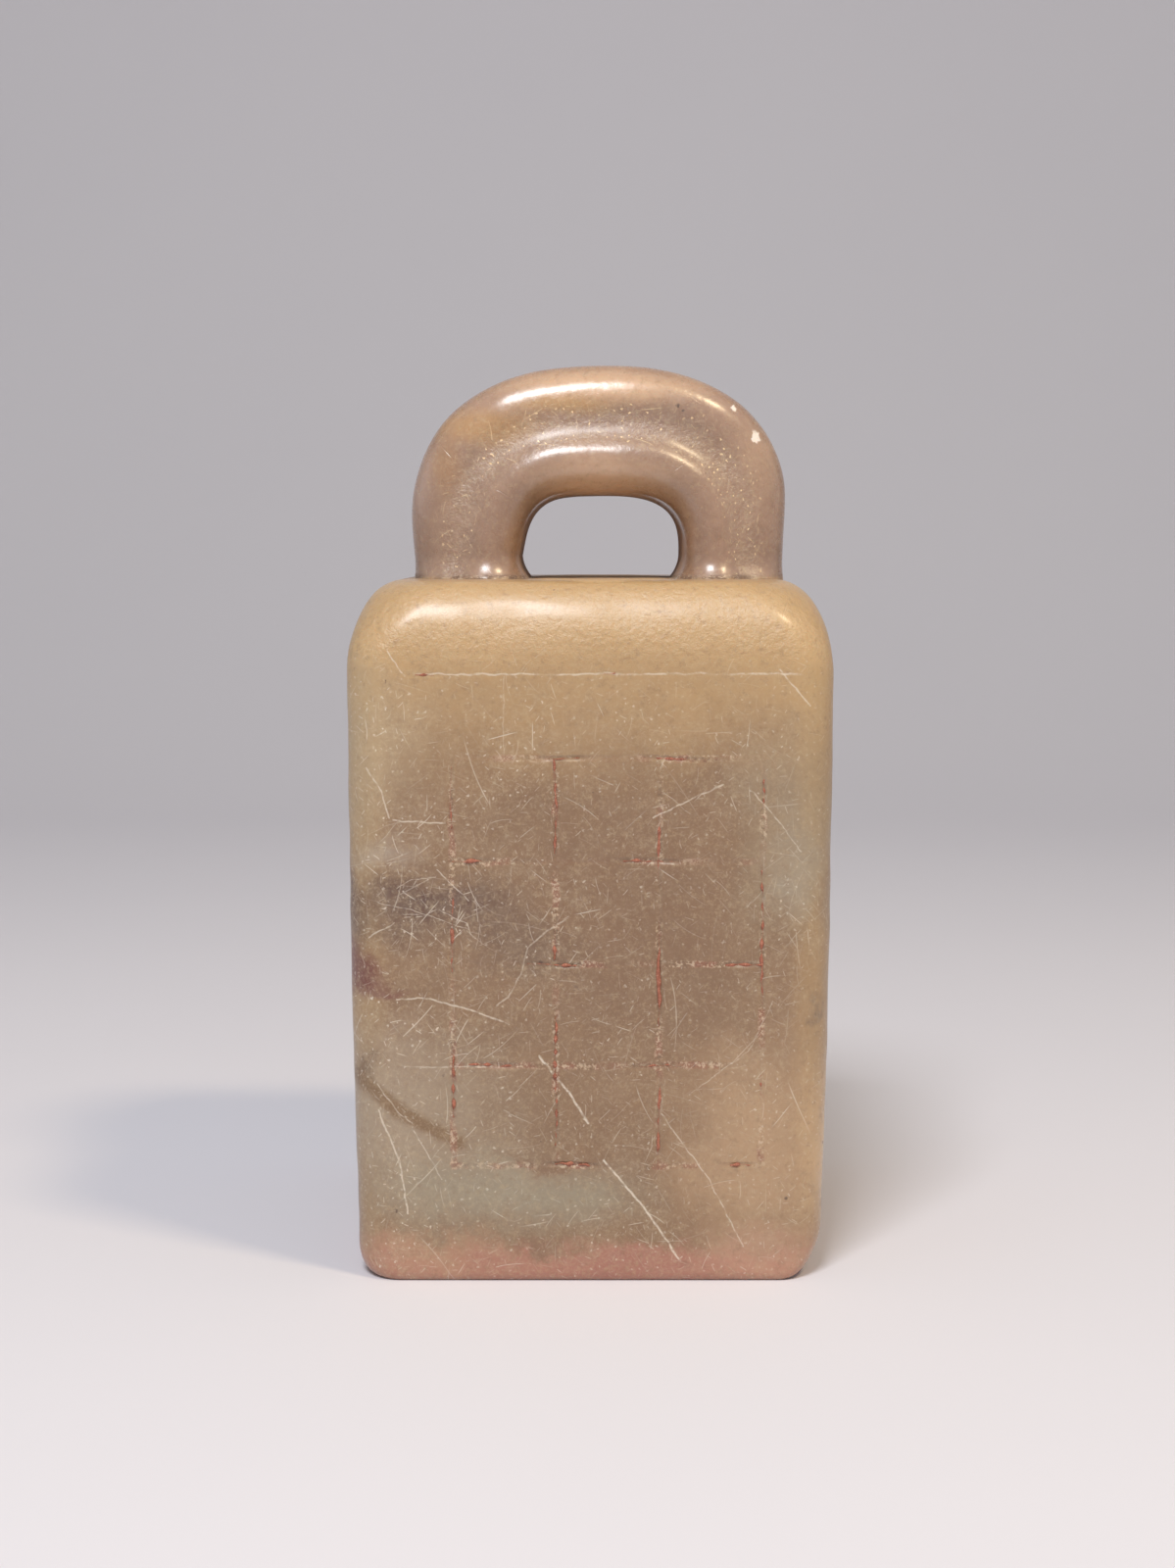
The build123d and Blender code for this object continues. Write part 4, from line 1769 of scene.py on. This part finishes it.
    def material(self) -> bpy.types.Material:
        """Makes the stone's material.

        Returns:
            The material.
        """
        recipe = Recipe(bpy.data.materials.new("waxy_soapstone"))
        place, wrap = recipe.place_mm(), recipe.wrap_mm()
        on_knob = recipe.between(recipe.apart(place)[2], *self.knob_from)
        band = self.band(recipe, wrap)
        worn = self.wear(recipe, place, band, on_knob)
        colour = self.grained(recipe, place, self.depths(recipe, place))
        colour = self.crushed_edges(recipe, place, colour)
        colour = self.hazed(recipe, place, worn, colour)
        lines = self.scored(recipe, place, wrap, worn, on_knob)
        fleck = recipe.mix(on_knob, self.scratch, self.gold_fleck)
        colour = recipe.mix(recipe.times(lines, self.line_cover), colour, fleck)
        pits, specks = self.spots(recipe, place, wrap, recipe.line(band, self.band_specks, worn))
        colour = recipe.mix(specks, colour, fleck)
        colour = recipe.mix(pits, colour, self.pit)
        # Lays the knob's spots, two of which are painted highlights.
        shaken = self.mark_and_highlight_shake.moved(recipe, place, place)
        colour = Patch.layered(self.marks, recipe, shaken, colour)
        # A darker, duller line round the knob's feet, with pale lint on it.
        foot_line, lint = self.foot_line(recipe, place)
        colour = recipe.mix(foot_line, colour, self.foot_line_tint)
        colour = recipe.mix(lint, colour, self.lint)
        in_eye = self.eye.share(recipe, place)
        dull = recipe.math("MAXIMUM", foot_line, in_eye)
        surface = recipe.add(
            "ShaderNodeBsdfPrincipled",
            {
                "Base Color": colour,
                "Roughness": self.roughness(recipe, place, worn, lines, dull),
                "IOR": self.ior,
                "Normal": self.relief(recipe, place, wrap, band),
                "Subsurface Weight": self.scatter,
                "Subsurface Radius": self.scatter_radius,
                "Subsurface Scale": self.scatter_depth * MM,
                "Coat Weight": recipe.line(in_eye, -self.coat, self.coat),
                "Coat Roughness": self.coat_roughness,
            },
        )
        return recipe.finish(surface)

    def band(self, recipe: Recipe, wrap: Socket) -> Socket:
        """Gives how near each place is to the knob's rough band.

        Args:
            recipe: The graph.
            wrap: Map coordinates, which on the knob say how far round from the band a place is.

        Returns:
            The share, 1 on the band and 0 on the block.
        """
        along, away, _ = recipe.apart(wrap)
        on_knob = recipe.between(along, ArchKnob.MAP_START - 5, ArchKnob.MAP_START - 4)
        return recipe.times(recipe.between(away, *self.band_from), on_knob)

    def wear(self, recipe: Recipe, place: Socket, band: Socket, on_knob: Socket) -> Socket:
        """Gives how scuffed each place is: most on the left, and least on the shoulder and the rolls.

        Args:
            recipe: The graph.
            place: Place inside the stone.
            band: How near it is to the rough band.
            on_knob: Whether it is on the knob.

        Returns:
            The share.
        """
        x, _, z = recipe.apart(place)
        scuffed = self.scuffed.over(recipe, place)
        left = recipe.between(x, *self.left_wear)
        below = recipe.between(z, *self.low_wear)
        body = recipe.times(scuffed, left, below)
        for scuff in self.scuffs:
            body = recipe.math("MAXIMUM", body, scuff.share(recipe, place))
        knob = recipe.line(band, *self.band_wear)
        body = recipe.times(body, recipe.minus(1.0, on_knob))
        return recipe.line(on_knob, knob, body)

    def depths(self, recipe: Recipe, place: Socket) -> Socket:
        """Gives the stone's colour: its clouds, veins, foot and knob, with a painted glow on its corners and
        low on its right edge, and partly painted shade on its left edge.

        The clouds are laid by a place that three noises have bent. The knob's are laid by one that is
        bent less.

        Args:
            recipe: The graph.
            place: Place inside the stone.

        Returns:
            The colour.
        """
        bent = place
        for shake in self.cloud_shakes:
            bent = shake.moved(recipe, place, bent)
        x, y, z = recipe.apart(place)
        bent_z = recipe.apart(bent)[2]
        mottle = self.mottle.over(recipe, bent)
        colour = recipe.mix(mottle, self.khaki_deep, self.khaki)
        colour = recipe.mix(recipe.between(bent_z, *self.honey_from), colour, self.honey)
        # Painted glow: the corners are laid lighter and yellower, standing in for light that shines through
        # the thin stone there.
        to_corner = recipe.math("ADD", recipe.math("ABSOLUTE", x), recipe.math("ABSOLUTE", y))
        colour = recipe.mix(recipe.between(to_corner, *self.painted_rim_glow_from), colour, self.painted_rim_glow)
        colour = Patch.layered(self.clouds + self.far_clouds + self.foot, recipe, bent, colour)
        way = recipe.vector("SUBTRACT", bent, place)
        near_bent = recipe.vector("ADD", recipe.scaled(way, self.near_share), place)
        colour = self.veined(recipe, place, near_bent, y, colour)
        knob = recipe.mix(mottle, self.knob_deep, self.knob)
        knob = Patch.layered(self.knob_clouds, recipe, near_bent, knob)
        return recipe.mix(recipe.between(z, *self.knob_tint_from), colour, knob)

    def veined(self, recipe: Recipe, place: Socket, near_bent: Socket, y: Socket, under: Socket) -> Socket:
        """Lays the vein that comes out on the front, and thin ones where a wide noise crosses a level.

        Args:
            recipe: The graph.
            place: Place inside the stone.
            near_bent: The same, bent a little.
            y: Its Y.
            under: The colour under them.

        Returns:
            The new colour.
        """
        across, _, up = recipe.apart(near_bent)
        vein = self.vein.share(recipe, recipe.together(across, up, 0.0))
        colour = recipe.mix(recipe.times(vein, recipe.between(y, *self.vein_from)), under, self.brown)
        per_mm, sway = self.hidden_sway
        swayed = recipe.vector("ADD", place, recipe.scaled(recipe.noise(place, per_mm).outputs[1], sway))
        ridge = recipe.gap(recipe.noise(swayed, self.hidden_per_mm, 0).outputs[0], self.hidden_level)
        fading = self.fading.over(recipe, place)
        thin = recipe.between(ridge, *self.hidden_ridge)
        hidden = recipe.times(thin, recipe.between(y, *self.hidden_from), fading)
        return recipe.mix(hidden, colour, self.brown)

    def grained(self, recipe: Recipe, place: Socket, under: Socket) -> Socket:
        """Lays the stone's fine grain: milky specks and darker ones, a fraction of a millimetre wide.

        Args:
            recipe: The graph.
            place: Place inside the stone.
            under: The colour under it.

        Returns:
            The new colour.
        """
        milky = self.milky.over(recipe, place)
        shadowy = self.shadowy.over(recipe, place)
        colour = recipe.mix(milky, under, self.milk)
        return recipe.mix(shadowy, colour, self.khaki_deep)

    def near_rules(self, recipe: Recipe, place: Socket) -> tuple[Socket, Socket]:
        """Gives how near each place is to the panel's rules and to the head rule.

        The distance to the nearest rule is the place folded back and forth over half a square, and the
        head rule has a distance of its own.

        Args:
            recipe: The graph.
            place: Place inside the stone.

        Returns:
            Both shares.
        """
        panel, fade = self.panel, self.rule_fade
        half = panel.square / 2
        x, y, z = recipe.apart(self.rule_shake.moved(recipe, place, place))
        to_column = recipe.math("PINGPONG", recipe.minus(x, panel.left), half)
        to_row = recipe.math("PINGPONG", recipe.minus(z, panel.foot), half)
        wide = half * (panel.columns - 1) + self.rule_margin
        tall = half * (panel.rows - 1) + self.rule_margin
        off_x = recipe.gap(x, panel.offset)
        off_z = recipe.gap(z, panel.foot + half * (panel.rows - 1))
        inside_x = recipe.between(off_x, wide + fade, wide)
        within = recipe.times(inside_x, recipe.between(off_z, tall + fade, tall))
        near = recipe.between(recipe.math("MINIMUM", to_column, to_row), *self.rule_edge)
        near = recipe.times(near, within)
        head_half = panel.head_length / 2
        head = recipe.between(recipe.gap(z, panel.head_height), *self.head_edge)
        head = recipe.times(head, recipe.between(off_x, head_half + self.head_fade, head_half))
        front = recipe.between(y, *self.front_from)
        return recipe.times(near, front), recipe.times(head, front)

    def crushed_edges(self, recipe: Recipe, place: Socket, under: Socket) -> Socket:
        """Lays the crushed pale edges and the rust stain along the rules.

        Args:
            recipe: The graph.
            place: Place inside the stone.
            under: The colour under them.

        Returns:
            The new colour.
        """
        near, head = self.near_rules(recipe, place)
        grit = recipe.noise(place, *self.grit).outputs[0]
        near = recipe.times(near, self.rule_run.over(recipe, place))
        rusty = self.rusty.over(recipe, place)
        colour = recipe.mix(recipe.times(rusty, near), under, self.rust)
        head_run = self.head_run.over(recipe, place)
        colour = recipe.mix(recipe.times(head, head_run), colour, self.scratch)
        pale = recipe.between(grit, *self.pale_grit)
        colour = recipe.mix(recipe.times(pale, near), colour, self.crushed)
        dark = recipe.between(grit, *self.dark_grit)
        return recipe.mix(recipe.times(dark, near), colour, self.pit)

    def hazed(self, recipe: Recipe, place: Socket, worn: Socket, under: Socket) -> Socket:
        """Lays the bloom of rubbed stone: two noises that cover more where the stone is scuffed.

        Args:
            recipe: The graph.
            place: Place inside the stone.
            worn: How scuffed it is.
            under: The colour under it.

        Returns:
            The new colour.
        """
        fine = self.fine_bloom.over(recipe, place)
        broad = self.broad_bloom.over(recipe, place)
        fine_cover, broad_cover = self.bloom_cover
        bloom = recipe.line(broad, broad_cover, recipe.times(fine, fine_cover))
        return recipe.mix(recipe.times(bloom, worn), under, self.haze)

    def scored(self, recipe: Recipe, place: Socket, wrap: Socket, worn: Socket, on_knob: Socket) -> Socket:
        """Gives all the scratches: the long ones, the crowds of short ones, and tangles on the scuffs.

        Args:
            recipe: The graph.
            place: Place inside the stone.
            wrap: Map coordinates.
            worn: How scuffed it is.
            on_knob: Whether it is on the knob, where only the finest crowds go.

        Returns:
            The share.
        """

        def crowd(scorings: tuple[Scoring, ...]) -> Socket:
            """Gives how fully any of these crowds covers each place."""
            return recipe.highest(scoring.mask(recipe, wrap) for scoring in scorings)

        long = self.long_scratches(recipe, place)
        coarse = crowd((self.coarse_scoring, self.cut_scoring))
        coarse = recipe.times(coarse, recipe.minus(1.0, on_knob))
        fine = crowd(self.fine_scorings)
        short = recipe.times(recipe.math("MAXIMUM", coarse, fine), worn)
        rubbed = recipe.highest(scuff.share(recipe, place) for scuff in self.scuffs)
        tangled = recipe.times(crowd(self.tangles), rubbed)
        return recipe.math("MAXIMUM", long, recipe.math("MAXIMUM", short, tangled))

    def long_scratches(self, recipe: Recipe, place: Socket) -> Socket:
        """Gives the long scratches of the front, a little shaken and broken along their length.

        Args:
            recipe: The graph.
            place: Place inside the stone.

        Returns:
            The share.
        """
        y = recipe.apart(place)[1]
        across, _, up = recipe.apart(self.scratch_shake.moved(recipe, place, place))
        flat = recipe.together(across, up, 0.0)
        found = recipe.highest(streak.share(recipe, flat) for streak in self.scratches)
        found = recipe.times(found, self.broken.over(recipe, place))
        return recipe.times(found, recipe.between(y, *self.front_from))

    def spots(self, recipe: Recipe, place: Socket, wrap: Socket, worn: Socket) -> tuple[Socket, Socket]:
        """Gives a few dark pits and a scatter of pale specks.

        Args:
            recipe: The graph.
            place: Place inside the stone.
            wrap: Map coordinates.
            worn: How scuffed it is.

        Returns:
            Both shares.
        """
        shaken = self.spot_shake.moved(recipe, place, wrap)
        hole = recipe.cells(shaken, 1 / self.pit_cell)
        chance, bulk, _ = recipe.apart(hole.outputs["Color"])
        growth = recipe.times(bulk, self.pit_growth)
        pits = recipe.between(recipe.minus(hole.outputs["Distance"], growth), *self.pit_edge)
        pits = recipe.times(pits, recipe.between(chance, *self.pit_chance))
        fleck = recipe.cells(shaken, 1 / self.speck_cell)
        there = recipe.apart(fleck.outputs["Color"])[0]
        specks = recipe.between(fleck.outputs["Distance"], *self.speck_edge)
        return pits, recipe.times(specks, recipe.between(there, *self.speck_chance), worn)

    def foot_line(self, recipe: Recipe, place: Socket) -> tuple[Socket, Socket]:
        """Gives a darker line round the knob's feet, and the lint that lies there.

        The distance from a foot's outline is that of a rectangle about each leg.

        Args:
            recipe: The graph.
            place: Place inside the stone.

        Returns:
            Both shares.
        """
        x, y, z = recipe.apart(place)
        to_leg = recipe.gap(recipe.gap(x, self.feet_middle), self.foot_out)
        leg_away = recipe.minus(to_leg, self.foot_half_width)
        deep_away = recipe.minus(recipe.math("ABSOLUTE", y), self.foot_half_depth)
        away = recipe.math("ABSOLUTE", recipe.math("MAXIMUM", leg_away, deep_away))
        level = recipe.gap(z, self.foot_line_height)
        near = recipe.times(recipe.between(level, *self.foot_line_rise), recipe.between(away, *self.foot_line_spread))
        foot_line = recipe.times(near, self.foot_line_lumps.over(recipe, place))
        stretched = recipe.vector("MULTIPLY", place, self.fibre_stretch)
        return foot_line, recipe.times(near, self.fibrous.over(recipe, stretched))

    def roughness(self, recipe: Recipe, place: Socket, worn: Socket, lines: Socket, foot_line: Socket) -> Socket:
        """Gives the roughness: waxy, glossier on the knob, duller where it is scuffed or scratched, along the
        dark line round the knob's feet and in the eye.

        Args:
            recipe: The graph.
            place: Place inside the stone.
            worn: How scuffed it is.
            lines: How fully scratches cover it.
            foot_line: How fully the dark line round the knob's feet and the eye dull it.

        Returns:
            The roughness, at most 1.
        """
        z = recipe.apart(place)[2]
        cloudy = self.cloudy_gloss.over(recipe, place)
        dull = recipe.math("ADD", recipe.between(z, *self.knob_gloss_from), cloudy)
        for share, factor in zip((worn, lines, foot_line), self.dulling):
            dull = recipe.line(share, factor, dull)
        return recipe.math("MINIMUM", dull, 1.0)

    def relief(self, recipe: Recipe, place: Socket, wrap: Socket, band: Socket) -> Socket:
        """Gives the fine relief: wax-smooth waves, a crackle on the shoulder and the band, and scratches.

        Args:
            recipe: The graph.
            place: Place inside the stone.
            wrap: Map coordinates.
            band: How near it is to the rough band.

        Returns:
            The normal.
        """
        z = recipe.apart(place)[2]
        above = recipe.between(z, *self.shoulder_from)
        shoulder = recipe.times(above, recipe.between(z, *self.shoulder_to))
        rough = recipe.math("MAXIMUM", shoulder, band)
        waves = recipe.noise(place, *self.wave).outputs[0]
        crackle = recipe.noise(place, *self.crackle).outputs[0]
        height = recipe.times(waves, self.wave_height)
        height = recipe.line(crackle, recipe.line(rough, *self.crackle_height), height)
        height = recipe.line(self.cut_scoring.mask(recipe, wrap), -self.scoring_depth, height)
        return recipe.bumped(height, MM)


@dataclass(frozen=True)
class DepositFinish:
    """A dry matt deposit: crumbly pigment or old seal paste."""

    name: str
    colour: Tint
    pale: Tint
    dark: Tint
    lumps_per_mm: float
    lump: Point2 = (4, 0.65)
    grit: Point2 = (3, 0.7)
    grit_factor: float = 4
    tint_from: Point2 = (0.35, 0.62)
    pale_from: Sides = (0.55, 0.7, 0, 0.7)
    roughness_from: Sides = (0.3, 0.7, 0.75, 0.95)
    specular: float = 0.3
    bump: float = 0.04

    def material(self) -> bpy.types.Material:
        """Makes the deposit's material.

        Returns:
            The material.
        """
        recipe = Recipe(bpy.data.materials.new(self.name))
        place = recipe.place_mm()
        lumps = recipe.noise(place, self.lumps_per_mm, *self.lump).outputs[0]
        grit = recipe.noise(place, self.lumps_per_mm * self.grit_factor, *self.grit).outputs[0]
        colour = recipe.mix(recipe.between(lumps, *self.tint_from), self.dark, self.colour)
        colour = recipe.mix(recipe.between(grit, *self.pale_from), colour, self.pale)
        normal = recipe.bumped(grit, self.bump * MM)
        surface = recipe.add(
            "ShaderNodeBsdfPrincipled",
            {
                "Base Color": colour,
                "Roughness": recipe.between(lumps, *self.roughness_from),
                "Specular IOR Level": self.specular,
                "Normal": normal,
            },
        )
        return recipe.finish(surface)


@dataclass
class Lamp:
    """A soft square lamp that looks at the seal's middle.

    Attributes:
        name: The lamp's name.
        azimuth: Degrees to the right of the front.
        elevation: Degrees above the floor.
        level: Its share of the light that makes a facing colour render as it is written.
        colour: Its tint.
        width: Its width.
        distance: How far it is.
    """

    name: str
    azimuth: float
    elevation: float
    level: float
    colour: Point3
    width: float
    distance: float = 300.0

    def place(self, target: Point3) -> None:
        """Hangs the lamp. Its power is the level times pi squared times the distance squared.

        Args:
            target: Where it looks.
        """
        side, up = radians(self.azimuth), radians(self.elevation)
        back = Vector((sin(side) * cos(up), -cos(side) * cos(up), sin(up)))
        light = bpy.data.lights.new(self.name, "AREA")
        light.shape = "SQUARE"
        light.size = self.width * MM
        light.energy = self.level * pi**2 * (self.distance * MM) ** 2
        light.color = self.colour
        lamp = bpy.data.objects.new(self.name, light)
        lamp.location = (Vector(target) + back * self.distance) * MM
        lamp.rotation_euler = back.to_track_quat("Z", "Y").to_euler()
        lamp.visible_camera = False
        bpy.context.scene.collection.objects.link(lamp)


@dataclass
class Studio:
    """A pale floor that sweeps up into a backdrop, two soft lamps, even light all round, and the camera."""

    target: Point3 = (0.0, 0.0, 22.0)
    camera_place: Point3 = (-0.126, -131.5, 38.4)
    camera_pitch: float = 5.9
    sensor: float = 24.0
    lens: float = 36.0
    clip_start: float = 1.0
    floor_tint: Tint = tint(222, 220, 226)
    floor_shade: Tint = tint(206, 205, 214)
    floor_clouds: Lumps = Lumps(0.02, 2, 0.5, 0.3, 0.7, 0, 0.06)
    floor_roughness: float = 0.75
    floor_front: float = 700.0
    floor_back: float = 190.0
    floor_half: float = 800.0
    sweep: float = 160.0
    backdrop_height: float = 900.0
    ambient: float = 0.34
    lamps: tuple[Lamp, ...] = (
        Lamp("key", -15.0, 53.0, 0.68, (0.96, 0.98, 1.01), 80.0),
        Lamp("side", 48.0, 55.0, 0.33, (1.0, 0.8, 0.52), 40.0),
    )

    def paper(self) -> bpy.types.Material:
        """Makes the pale paper's material.

        Returns:
            The material.
        """
        recipe = Recipe(bpy.data.materials.new("studio_paper"))
        clouds = self.floor_clouds.over(recipe, recipe.place_mm())
        colour = recipe.mix(clouds, self.floor_tint, self.floor_shade)
        feeds = {"Base Color": colour, "Roughness": self.floor_roughness}
        return recipe.finish(recipe.add("ShaderNodeBsdfPrincipled", feeds))

    def floor(self) -> None:
        """Builds the floor and backdrop: a flat run, a quarter circle up and a straight rise, across."""
        turn = np.radians(np.linspace(0, 90, 25))
        back = self.floor_back + self.sweep
        y = np.concatenate([[-self.floor_front], self.floor_back + self.sweep * np.sin(turn), [back]])
        z = np.concatenate([[0.0], self.sweep * (1 - np.cos(turn)), [self.backdrop_height]])
        x = np.array([-self.floor_half, self.floor_half])
        places = stacked(x[None, :], y[:, None], z[:, None])
        piece = woven(places, places[..., :2], False).to_object("studio_floor")
        piece.data.flip_normals()
        piece.data.materials.append(self.paper())

    def air(self) -> None:
        """Sets the even light, which the camera and reflections see as pale as the floor."""
        recipe = Recipe(bpy.data.worlds.new("studio_air"))
        rays = recipe.add("ShaderNodeLightPath", {}).outputs
        seen = recipe.highest(rays[f"Is {kind} Ray"] for kind in ("Camera", "Glossy", "Transmission"))
        dim = recipe.add("ShaderNodeBackground", {0: (1.0, 1.0, 1.0, 1.0), 1: self.ambient})
        pale = recipe.add("ShaderNodeBackground", {0: self.floor_tint, 1: 1.0})
        choice = recipe.add("ShaderNodeMixShader", {0: seen, 1: dim.outputs[0], 2: pale.outputs[0]})
        bpy.context.scene.world = recipe.finish(choice, "ShaderNodeOutputWorld")

    def camera(self) -> None:
        """Sets the camera where the photograph was taken from."""
        data = bpy.data.cameras.new("photo_camera")
        data.sensor_fit = "VERTICAL"
        data.sensor_height = self.sensor
        data.lens = self.lens
        data.clip_start = self.clip_start * MM
        view = bpy.data.objects.new("photo_camera", data)
        view.location = Vector(self.camera_place) * MM
        view.rotation_euler = (radians(90 - self.camera_pitch), 0, 0)
        bpy.context.scene.collection.objects.link(view)
        bpy.context.scene.camera = view

    def build(self) -> None:
        """Sets the whole studio."""
        self.floor()
        self.air()
        for lamp in self.lamps:
            lamp.place(self.target)
        self.camera()
        bpy.context.scene.view_settings.view_transform = "Standard"


@dataclass
class SealStamp:
    """The whole seal: the carved stone, the pigment in its rules and the paste in its face."""

    crease: float = 32.0
    table_thickness: float = 0.6
    stone_finish: SoapstoneFinish = SoapstoneFinish()
    pigment_finish: DepositFinish = DepositFinish(
        "rust_pigment", tint(180, 114, 92), tint(222, 186, 160), tint(146, 90, 72), 4.0
    )
    paste_finish: DepositFinish = DepositFinish(
        "dried_seal_paste", tint(150, 44, 34), tint(186, 92, 74), tint(98, 24, 20), 1.6
    )

    def __post_init__(self) -> None:
        """Takes the main sizes from the frame."""
        body_low, body_high = box_mm("seal_body")
        knob_low, knob_high = box_mm("arch_knob")
        paste_low, paste_high = box_mm("face_paste")
        table = float(knob_low[2]) + self.table_thickness
        half_width = float(body_high[0] - body_low[0]) / 2
        self.body = SealBody(half_width, table, Panel())
        self.knob = ArchKnob(table, float(knob_high[2]) - table)
        self.face = CarvedFace(float(paste_high[2]))
        self.paste_thickness = float(paste_high[2] - paste_low[2])

    def finished(self, piece: bpy.types.Object, look: bpy.types.Material, slot: str, *nodes: str) -> None:
        """Dresses a piece, sets it on the root and hides the nodes that it stands for.

        Args:
            piece: The piece.
            look: Its material.
            slot: Not used.
            nodes: The nodes that it replaces.
        """
        piece.data.materials.clear()
        piece.data.materials.append(look)
        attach(piece, "root")
        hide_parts(*nodes)
        log.info("%s: %d faces", piece.name, len(piece.data.polygons))

    def stone(self) -> None:
        """Builds the stone: the block and the knob joined, with the face carved out of its foot."""
        piece = self.body.shell().to_object("seal_stone")
        shaped(piece, self.knob.shell(self.body), Cut.JOIN)
        shaped(piece, self.face.cutter(), Cut.CARVE)
        piece.data.set_sharp_from_angle(angle=radians(self.crease))
        look = self.stone_finish.material()
        self.finished(piece, look, "soapstone", "arch_knob", "seal_body", "seal_face")

    def pigment(self) -> None:
        """Builds the pigment that is left in the rules."""
        piece = PigmentRemains(self.body).shell().to_object("rule_pigment_crusts")
        self.finished(piece, self.pigment_finish.material(), "red_pigment", "rule_pigment")

    def paste(self) -> None:
        """Builds the dried paste in the face."""
        piece = self.face.paste(self.paste_thickness).to_object("face_paste_crust")
        self.finished(piece, self.paste_finish.material(), "seal_paste", "face_paste")

    def build(self) -> None:
        """Builds every piece."""
        self.stone()
        self.pigment()
        self.paste()


def main() -> None:
    """Builds the seal and the studio."""
    logging.basicConfig(level=logging.INFO, format="%(name)s %(message)s")
    SealStamp().build()
    Studio().build()


if __name__ == "__main__":
    main()
